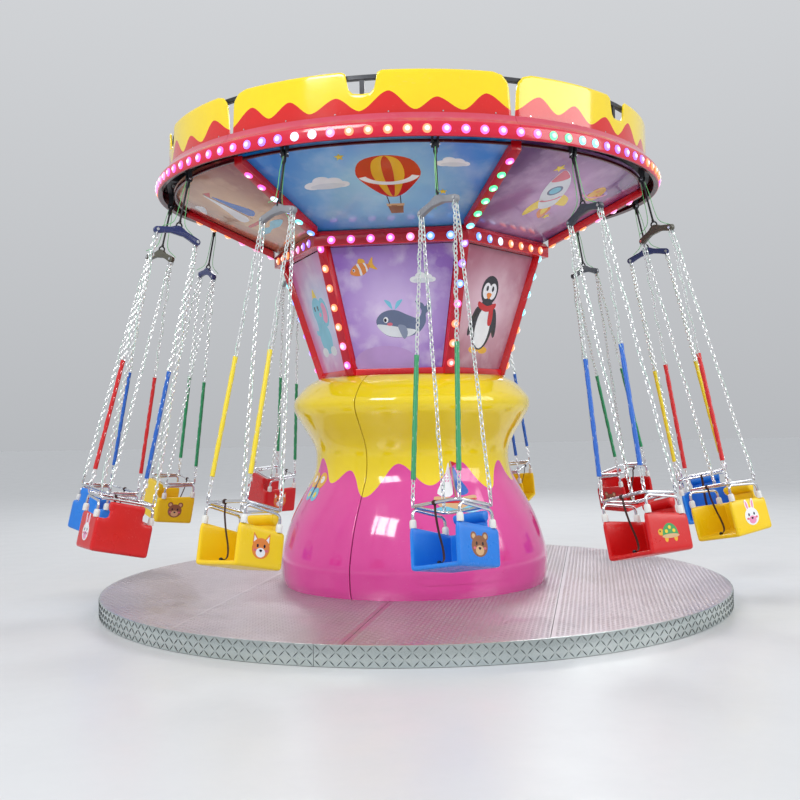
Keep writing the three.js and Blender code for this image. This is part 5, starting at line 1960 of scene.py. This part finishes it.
    def build_roof(self) -> None:
        """Builds the shallow roof with its seam strips and cap, and the hoop with its posts."""
        foot, edge = self.roof_foot, self.roof_edge
        low, high = self.roof_peak, self.roof_peak + self.roof_wall
        skin = Skin()
        skin.turned([(0, low), (self.roof_flat, low), (edge, foot), (edge, foot + self.roof_wall - 0.002),
                     (edge - 0.002, foot + self.roof_wall), (self.roof_flat, high), (0, high)], 144,
                    closed=False)
        skin.turned([(0, high), (0.17, high - 0.002), (0.17, high + 0.010), (0.15, high + 0.022),
                     (0.09, high + 0.036), (0, high + 0.042)], 48, closed=False)
        strip_end = foot + self.roof_wall - self.roof_slope() * 0.04
        strip = [(0.16, high - 0.001), (edge - 0.04, strip_end - 0.001), (edge - 0.04, strip_end + 0.005),
                 (0.16, high + 0.005)]
        for number in range(self.roof_seams):
            skin.plate(strip, 0.045, radial_place(CROWN_SLOT + number * 30))
        skin.turned([(1.482, 2.903), (1.485, 2.900), (1.507, 2.900), (1.510, 2.903), (1.510, 2.922),
                     (1.507, 2.925), (1.485, 2.925), (1.482, 2.922)], 144, finish=1)
        post = [(1.483, foot + 0.004), (1.507, foot + 0.004), (1.507, 2.905), (1.483, 2.905)]
        for side in range(SIDES):
            skin.plate(post, 0.025, radial_place(CROWN_SLOT + 30 + side * 60), finish=1)
        install("roof_deck", skin.mesh("roof", [ROOF_GREY, DARK_STEEL], 35), "stand", "roof_grey", "roof")

    def add_bolts(self) -> None:
        """Adds the bolts of the roof's seam strips, and the screws at the crown plates' feet."""
        spots = []
        slope = self.roof_slope()
        for number in range(self.roof_seams):
            out = at_bearing(1, CROWN_SLOT + number * 30, 0)
            across = aside(out)
            aim = (UP - out * slope).normalized()
            for reach in np.linspace(0.2, 1.42, 9):
                height = self.roof_peak + self.roof_wall + (reach - self.roof_flat) * slope + 0.0052
                for shift in (-0.014, 0.014):
                    spots.append(Spot(out * reach + across * shift + UP * height, aim, across))
        install("roof_bolts", BOLTS.on_spots("roof_bolts", spots, CHROME), "stand", "roof_grey")
        spots = []
        for side in range(SIDES):
            for offset in (-0.7, -0.42, -0.14, 0.14, 0.42, 0.7):
                bearing = CROWN_SLOT + 30 + side * 60 + math.degrees(offset / self.plate_radius)
                place = at_bearing(self.plate_radius - 0.001, bearing, self.plate_foot + 0.012)
                spots.append(Spot(place, at_bearing(1, bearing, 0), UP))
        install("crown_screws", SCREWS.on_spots("crown_screws", spots, CHROME), "stand", "crown_yellow")


@dataclass
class Carrier:
    """The turning carrier: its steel finish, and the bolt heads on its lugs."""

    pitch_radius: float = 1.536
    height: float = 2.550
    half_width: float = 0.020

    def build(self) -> None:
        """Finishes the carrier's nodes, and adds the pins' heads."""
        dress("carrier_arms", DARK_STEEL)
        dress("carrier_ring", DARK_STEEL)
        spots = []
        for number in range(CHAIRS):
            out = at_bearing(1, FIRST_CHAIR + number * 30, 0)
            for side in (-1, 1):
                at = out * self.pitch_radius + aside(out) * side * self.half_width + UP * self.height
                spots.append(Spot(at, aside(out) * side, out))
        install("carrier_pin_heads", BOLTS.on_spots("pins", spots, CHROME), "carrier", "base_steel")


@dataclass
class Chair:
    """One bucket chair design: hanger, spreader, chains, tubes, trims and seat, in the chair's own frame."""

    seat_foot: float = -2.150
    half_width: float = 0.158
    half_depth: float = 0.141
    front_height: float = 0.207
    rear_height: float = 0.180
    wall: float = 0.024
    back_half: float = 0.098
    back_step: float = 0.222
    back_height: float = 0.272
    end_at: Flat = (0.120, -0.345)
    end_radius: float = 0.020
    chain_top: Point = (0.120, 0.006, -0.355)
    arm_x: float = 0.151
    arm_ends: tuple[Flat, Flat] = ((0.116, 0.287), (-0.100, 0.262))
    lap: tuple[float, float, float] = (0.151, 0.122, -0.108)
    lap_height: float = 0.292
    lap_slope: float = 4.0
    tube: float = 0.0085
    link_length: float = 0.054
    sleeve_start: float = 0.50
    sleeve_gap: float = 0.130
    sleeve_radius: float = 0.0130

    def panel_height(self, forwards: float) -> float:
        """Returns the side panel's height at a place forwards of the seat's middle."""
        share = (forwards + self.half_depth) / (2 * self.half_depth)
        return blend(self.rear_height, self.front_height, share)

    def lap_at(self, forwards: float) -> float:
        """Returns the lap frame's height in the chair's frame, at a place forwards of its middle."""
        return self.seat_foot + self.lap_height + forwards * math.tan(math.radians(self.lap_slope))

    def chain_ends(self) -> list[tuple[Vector, Vector]]:
        """Lists the four chains' upper ends and the tube corners that they run to, the front two first."""
        x, y, z = self.chain_top
        return [(Vector((side * x, -y if number else y, z)),
                 Vector((side * self.arm_x, forwards, self.seat_foot + height)))
                for number, (forwards, height) in enumerate(self.arm_ends) for side in (-1, 1)]

    def above_lap(self, top: Vector, foot: Vector, rise: float) -> Vector:
        """Returns the point of a chain's line at a rise above the lap frame."""
        return top.lerp(foot, (self.lap_at(foot.y) + rise - top.z) / (foot.z - top.z))

    def hanger(self) -> Mesh:
        """Builds the eye on the pin, the clevis and rod, the lower ring and the sheathed safety wires."""
        skin, eye = Skin(), Skin()
        eye.turned([(0.0095, -0.0055), (0.0112, -0.007), (0.0195, -0.007), (0.022, -0.0045), (0.022, 0.0045),
                    (0.0195, 0.007), (0.0112, 0.007), (0.0095, 0.0055)], 24)
        skin.take(eye.moved(Matrix.Rotation(math.pi / 2, 4, "X")))
        skin.turned([(0.0, -0.018), (0.0115, -0.018), (0.0120, -0.044), (0.0080, -0.056), (0.0060, -0.062),
                     (0.0060, -0.250), (0.0085, -0.256), (0.0085, -0.270), (0.0, -0.270)], 12, closed=False)
        ring = [(0.0165 * math.sin(a), 0, -0.284 + 0.0180 * math.cos(a)) for a in ring_of(20)]
        skin.tube(ring, 0.0048, 8, closed=True)
        for side in (-1, 1):
            path = smooth_line([(side * 0.010, 0.0, -0.020), (side * 0.019, 0.005, -0.100),
                                (side * 0.023, 0.004, -0.200), (side * 0.038, 0.003, -0.272),
                                (side * 0.096, 0.0, -0.3155)], 5)
            skin.tube(path, 0.0021, 6, finish=1)
        return skin.mesh("hanger", [BLACK_STEEL, WIRE_GREEN])

    def spreader(self, paint: SpreaderPaint) -> Mesh:
        """Builds the painted casting, whose arms droop to round ends, with its bolts and end rings."""
        x, z = self.end_at
        right = [(0.040, -0.338), (0.075, -0.3485)]
        right += [(x + self.end_radius * math.cos(a), z + self.end_radius * math.sin(a))
                  for a in np.radians(np.linspace(255, 430, 15))]
        right += [(0.092, -0.3165), (0.068, -0.3105), (0.050, -0.3060), (0.037, -0.2990), (0.029, -0.2935)]
        right += [(0.026 * math.cos(a), -0.301 + 0.016 * math.sin(a)) for a in np.radians((40, 60, 78))]
        skin, bright, head = Skin(), Skin(), Skin()
        outline = right + [(-u, v) for u, v in reversed(right)]
        skin.plate(outline, 0.027, lambda u, v, off: Vector((u, off, v)))
        body = skin.mesh("spreader", [paint.value], 35, bevel(0.0045, 3, 50))
        head.turned([(0, -0.0185), (0.0085, -0.0185), (0.0085, -0.0130), (0.0060, -0.0130), (0.0060, 0.0130),
                     (0.0085, 0.0130), (0.0085, 0.0185), (0, 0.0185)], 12, closed=False)
        for side in (-1, 1):
            turn = Matrix.Translation((side * x, 0, z + 0.002)) @ Matrix.Rotation(math.pi / 2, 4, "X")
            bright.take(head.moved(turn))
            for way in (-1, 1):
                ring = [(side * x + 0.0085 * math.sin(a), way * 0.008, -0.366 + 0.014 * math.cos(a))
                        for a in ring_of(14)]
                bright.tube(ring, 0.0028, 6, closed=True)
        whole = Matrix.Identity(4)
        return merged("spreader", [(body, whole), (bright.mesh("bright", [CHROME]), whole)])

    def tubes(self) -> Mesh:
        """Builds the lap frame, the bent armrest tubes and the long end links on the frame's corners."""
        skin = Skin()
        half, front, rear = self.lap
        corners = [(-half, rear, self.lap_at(rear)), (half, rear, self.lap_at(rear)),
                   (half, front, self.lap_at(front)), (-half, front, self.lap_at(front))]
        skin.tube(rounded_path(corners, 0.040, closed=True), self.tube, 10, closed=True)
        foot = self.seat_foot
        (front_y, front_z), (rear_y, rear_z) = self.arm_ends
        for x in (-self.arm_x, self.arm_x):
            path = [(x, front_y, foot + self.panel_height(front_y) + 0.004), (x, front_y, foot + front_z),
                    (x, rear_y, foot + rear_z), (x, rear_y, foot + self.panel_height(rear_y) + 0.004)]
            skin.tube(rounded_path(path, 0.030), 0.0075, 10)
        for top, low in self.chain_ends():
            start, stop = self.above_lap(top, low, self.link_length), self.above_lap(top, low, -0.004)
            down = (stop - start).normalized()
            across = down.cross(Vector((0, 1, 0))).normalized()
            centre, reach = start.lerp(stop, 0.5), (stop - start).length / 2
            loop = [centre + down * reach * along + across * 0.0085 * out for along, out in (
                (-1, 0), (-0.9, 0.45), (0, 1), (0.9, 0.45), (1, 0), (0.9, -0.45), (0, -1), (-0.9, -0.45))]
            skin.tube(loop, 0.0032, 6, closed=True)
        return skin.mesh("tubes", [CHROME], 50)

    def chains(self) -> Mesh:
        """Builds the chains' links, from the spreader down to the end links."""
        lines = [(top - UP * 0.012, self.above_lap(top, low, self.link_length - 0.004))
                 for top, low in self.chain_ends()]
        return LINKS.on_lines("chains", lines, CHAIN_STEEL)

    def trims(self, sleeves: Sequence[SleeveColour]) -> Mesh:
        """Builds sleeves, safety wires, ferrules, the strap and its bolt.

        Args:
            sleeves: The colours of the left and the right front sleeve.

        Returns:
            The mesh.
        """
        skin = Skin()
        for number, (top, low) in enumerate(self.chain_ends()):
            knot = self.above_lap(top, low, 0.0)
            if number < 2:
                start, stop = top.lerp(knot, self.sleeve_start), self.above_lap(top, low, self.sleeve_gap)
                path = [start.lerp(stop, share) for share in np.linspace(0, 1, 13)]
                radii = [self.sleeve_radius * (0.93 + 0.07 * math.cos(9 * i)) for i in range(13)]
                skin.tube(path, radii, 10, finish=3 + number)
            reach = 0.985 if number >= 2 else self.sleeve_start + 0.02
            points = []
            for i in range(25):
                wander = 0.0105 + 0.003 * math.sin(i * 1.7 + number)
                angle = 0.9 * i + number
                points.append(top.lerp(knot, reach * i / 24)
                              + Vector((math.cos(angle), math.sin(angle), 0)) * wander)
            skin.tube(smooth_line(points, 3), 0.0015, 5, finish=2)
        self.add_ferrules(skin)
        self.add_strap(skin)
        finishes = [FERRULE_WHITE, STRAP_BROWN, WIRE_PALE, *(sleeve.value for sleeve in sleeves), BLACK_STEEL]
        return skin.mesh("trims", finishes, 40)

    def add_ferrules(self, skin: Skin) -> None:
        """Adds the white ferrules at the feet of the armrest tubes."""
        for side in (-1, 1):
            for forwards, _ in self.arm_ends:
                base = self.seat_foot + self.panel_height(forwards) - 0.006
                skin.turned([(0, base), (0.0155, base), (0.0162, base + 0.004), (0.0162, base + 0.030),
                             (0.0140, base + 0.038), (0.0100, base + 0.041), (0, base + 0.041)], 16,
                            centre=(side * self.arm_x, forwards, 0), closed=False)

    def add_strap(self, skin: Skin) -> None:
        """Adds the strap, from its loop round the lap frame's front tube to the bolt on the floor."""
        foot, front = self.seat_foot, self.lap[1]
        bar = self.lap_at(front)
        loop = [(0.0, front + 0.0108 * math.cos(a), bar + 0.0108 * math.sin(a)) for a in ring_of(14)]
        skin.tube(loop, 0.0078, 8, finish=1, closed=True, flat=0.28)
        strap = smooth_line([(0.000, front - 0.003, bar - 0.0105), (0.004, front - 0.010, foot + 0.240),
                             (0.012, front - 0.034, foot + 0.165), (0.016, front - 0.058, foot + 0.100),
                             (0.014, front - 0.062, foot + 0.052), (0.010, front - 0.046, foot + 0.0320),
                             (0.004, front - 0.018, foot + 0.0290)], 5)
        skin.tube(strap, 0.0075, 8, finish=1, flat=0.28)
        skin.turned([(0, 0.0200), (0.010, 0.0200), (0.010, 0.0330), (0.006, 0.0370), (0, 0.0380)], 12,
                    finish=5, centre=(0.003, 0.104, foot), closed=False)

    def seat(self, colour: SeatColour) -> Mesh:
        """Builds the moulded bucket: floor, sides and back as one thick round-edged wall, with a head roll.

        Args:
            colour: The seat's colour.

        Returns:
            The mesh.
        """
        w, d, b = self.half_width, self.half_depth, self.back_half - 0.004
        xs = [-w, -w + 0.030, -b, -0.040, 0.040, b, w - 0.030, w]
        ys = [d, d - 0.026, 0.070, 0.0, -0.070, -d + 0.030, -d]
        heights = [lambda y, level=level: level for level in (0.0, 0.028, 0.090, 0.140)]
        heights += [self.panel_height, lambda y: self.back_step, lambda y: self.back_height]
        spots: dict[Point, int] = {}
        faces = []

        def add_face(*corners: tuple[float, float, int]) -> None:
            """Adds a face by its corners' places and levels, and numbers the points that are new."""
            points = [(x, y, heights[level](y)) for x, y, level in corners]
            faces.append(tuple(spots.setdefault(point, len(spots)) for point in points))

        for left, right in zip(xs, xs[1:]):
            for near, far in zip(ys, ys[1:]):
                add_face((left, near, 0), (right, near, 0), (right, far, 0), (left, far, 0))
        for level in range(4):
            for near, far in zip(ys, ys[1:]):
                for x in (-w, w):
                    add_face((x, near, level), (x, far, level), (x, far, level + 1), (x, near, level + 1))
            for left, right in zip(xs, xs[1:]):
                add_face((left, -d, level), (right, -d, level), (right, -d, level + 1), (left, -d, level + 1))
        for level in (4, 5):
            for left, right in zip(xs[2:5], xs[3:6]):
                add_face((left, -d, level), (right, -d, level), (right, -d, level + 1), (left, -d, level + 1))
        skin, roll = Skin(), Skin()
        skin.add(spots, faces, [0] * len(faces))
        smoother = ("SUBSURF", {"levels": 2, "render_levels": 2})
        shell = skin.mesh("shell", [colour.value], 60, [
            ("SOLIDIFY", {"thickness": self.wall, "offset": -1.0, "use_even_offset": True}), smoother])
        low, high, out = self.back_height - 0.060, self.back_height, self.back_half
        sections = [[(x, -d + 0.002, low + 0.012), (x, -d, high - 0.030), (x, -d, high - 0.004),
                     (x, -d + 0.012, high), (x, -d + 0.046, high - 0.004), (x, -d + 0.052, high - 0.020),
                     (x, -d + 0.044, high - 0.042), (x, -d + 0.022, low)]
                    for x in (-out, -out + 0.014, -0.05, 0.05, out - 0.014, out)]
        roll.grid(sections, around=True, ends=True)
        head = roll.mesh("roll", [colour.value], 60, [smoother])
        lift = Matrix.Translation((0, 0, self.seat_foot))
        return merged("seat", [(shell, lift), (head, lift)])

    def stickers(self, motif: Motif) -> Skin:
        """Prints one motif on the outside of both side panels, and returns the printed layers."""
        both = Skin()
        for side in (-1, 1):
            art = Artwork(lambda u, v, lift, side=side: Vector((
                side * (self.half_width + lift), side * (u - 0.004), self.seat_foot + 0.099 + v)), 1.0)
            art.motif(motif, (0.0, 0.0), 0.074)
            both.take(art.skin)
        return both


@dataclass
class ChairRing:
    """The twelve chairs on the carrier, each at its own bearing and twist."""

    twists: tuple[float, ...] = (-39, 3, 35, 24, 0, 0, 0, 0, 30, 44, 2, -72)
    fling: float = 13.0
    pin_radius: float = 1.536
    pin_height: float = 2.550
    paints: str = "GREY SLATE OLIVE NAVY SLATE SLATE OLIVE GREY NAVY OLIVE NAVY GREY"
    left_sleeves: str = "GREEN BLUE RED YELLOW GREEN BLUE GREEN GREEN GREEN BLUE RED YELLOW"
    right_sleeves: str = "GREEN BLUE RED YELLOW GREEN BLUE GREEN GREEN GREEN RED BLUE YELLOW"

    def matrices(self, number: int) -> tuple[Matrix, Matrix]:
        """Returns the places of a chair's hanger and of what twists below it."""
        bearing = FIRST_CHAIR + number * 30
        flung = (Matrix.Translation(at_bearing(self.pin_radius, bearing, self.pin_height))
                 @ Matrix.Rotation(math.radians(bearing + 90), 4, "Z")
                 @ Matrix.Rotation(math.radians(self.fling), 4, "Y"))
        return flung, flung @ Matrix.Rotation(math.radians(-self.twists[number]), 4, "Z")

    def build(self) -> None:
        """Builds all the chairs from one design."""
        design = Chair()
        hanger, tubes, chains = design.hanger(), design.tubes(), design.chains()
        spreaders = {paint.name: design.spreader(paint) for paint in SpreaderPaint}
        seats = [design.seat(colour) for colour in SeatColour]
        stickers = [design.stickers(draw())
                    for draw in (Motifs.bear, Motifs.fox, Motifs.rabbit, Motifs.turtle)]
        paints = self.paints.split()
        sleeves = list(zip(self.left_sleeves.split(), self.right_sleeves.split()))
        for number in range(CHAIRS):
            label = f"chair_{number + 1:02d}"
            upper, lower = self.matrices(number)
            rigging = merged(label, [(hanger, upper), (spreaders[paints[number]], lower), (tubes, lower)])
            install(f"{label}_rigging", rigging, label, "chain_chrome", f"{label}_sling")
            install(f"{label}_chains", merged(label, [(chains, lower)]), label, "chain_chrome")
            trims = design.trims([SleeveColour[name] for name in sleeves[number]])
            install(f"{label}_trims", merged(label, [(trims, lower)]), label, "chain_chrome")
            slot = f"seat_{list(SeatColour)[number % 3].name.lower()}"
            bucket = merged(label, [(seats[number % 3], lower)])
            install(f"{label}_bucket", bucket, label, slot, f"{label}_seat")
            printed = stickers[number * 3 % 4].moved(lower)
            install(f"{label}_stickers", printed.mesh(label, [INK]), label, slot)


@dataclass
class Studio:
    """The floor, the light and the camera."""

    camera_at: Point = (0.0, -6.733, 1.150)
    yaw: float = -0.636
    pitch: float = 1.072
    roll: float = -1.042
    focal_pixels: float = 1025.5
    frame_pixels: float = 800.0
    sensor: float = 36.0
    floor_reach: float = 40.0
    aim_height: float = 1.3

    def build(self) -> None:
        """Builds the floor, the lights and the camera."""
        floor, far = Skin(), self.floor_reach
        floor.add([(-far, -far, 0), (far, -far, 0), (far, far, 0), (-far, far, 0)], [(0, 1, 2, 3)], [0])
        link_object("studio_floor", floor.mesh("studio_floor", [PALE_FLOOR]))
        self.light_world()
        self.softbox("key_light", (-3.6, -6.5, 6.2), (3.2, 2.4), 330.0)
        self.softbox("fill_light", (6.8, -3.2, 4.4), (5.0, 4.0), 230.0)
        self.softbox("back_light", (0.5, 6.5, 5.5), (5.0, 2.0), 260.0)
        self.make_camera()

    def light_world(self) -> None:
        """Lights the studio evenly, paler above the horizon than below it."""
        world = bpy.data.worlds.new("studio")
        bpy.context.scene.world = world
        world.use_nodes = True
        world.node_tree.nodes.clear()
        graph = Graph(world.node_tree)
        direction = graph.add("ShaderNodeTexCoord").outputs["Generated"]
        height = graph.add("ShaderNodeSeparateXYZ", {0: direction}).outputs[2]
        colour = graph.mix(graph.spread(height, -0.1, 0.5), (0.62, 0.64, 0.67), (0.95, 0.97, 1.0))
        light = graph.result("ShaderNodeBackground", {"Color": colour, "Strength": 0.72})
        graph.add("ShaderNodeOutputWorld", {"Surface": light})

    def softbox(self, name: str, at: Point, size: Flat, power: float) -> None:
        """Adds one large soft light that faces the ride's middle.

        Args:
            name: The light's name.
            at: Its place.
            size: Its width and height.
            power: Its power in watts.
        """
        data = bpy.data.lights.new(name, "AREA")
        data.shape = "RECTANGLE"
        data.size, data.size_y = size
        data.energy = power
        light = link_object(name, data)
        light.location = at
        light.rotation_mode = "QUATERNION"
        light.rotation_quaternion = (Vector(at) - UP * self.aim_height).to_track_quat("Z", "Y")

    def make_camera(self) -> None:
        """Sets the camera at the photograph's place, turn and focal length."""
        data = bpy.data.cameras.new("photo_camera")
        data.sensor_width = self.sensor
        data.lens = self.focal_pixels / self.frame_pixels * self.sensor
        camera = link_object("photo_camera", data)
        yaw, pitch, roll = (math.radians(v) for v in (self.yaw, self.pitch, self.roll))
        forward = Vector((math.sin(yaw) * math.cos(pitch), math.cos(yaw) * math.cos(pitch), math.sin(pitch)))
        level = Vector((math.cos(yaw), -math.sin(yaw), 0))
        upright = level.cross(forward)
        right = level * math.cos(roll) + upright * math.sin(roll)
        up = upright * math.cos(roll) - level * math.sin(roll)
        turn = Matrix((right, up, -forward)).transposed().to_4x4()
        camera.matrix_world = Matrix.Translation(self.camera_at) @ turn
        bpy.context.scene.camera = camera
        bpy.context.scene.view_settings.view_transform = "Standard"


def main() -> None:
    """Builds the studio and each sub-assembly in order."""
    logging.basicConfig(level=logging.INFO, format="%(message)s", stream=sys.stdout)
    for part in (Studio(), Platform(), Pedestal(), LampDrum(), DrumBoards(), Ceiling(), Canopy(), Carrier(),
                 ChairRing()):
        LOG.info("building %s", type(part).__name__)
        part.build()


if __name__ == "__main__":
    main()
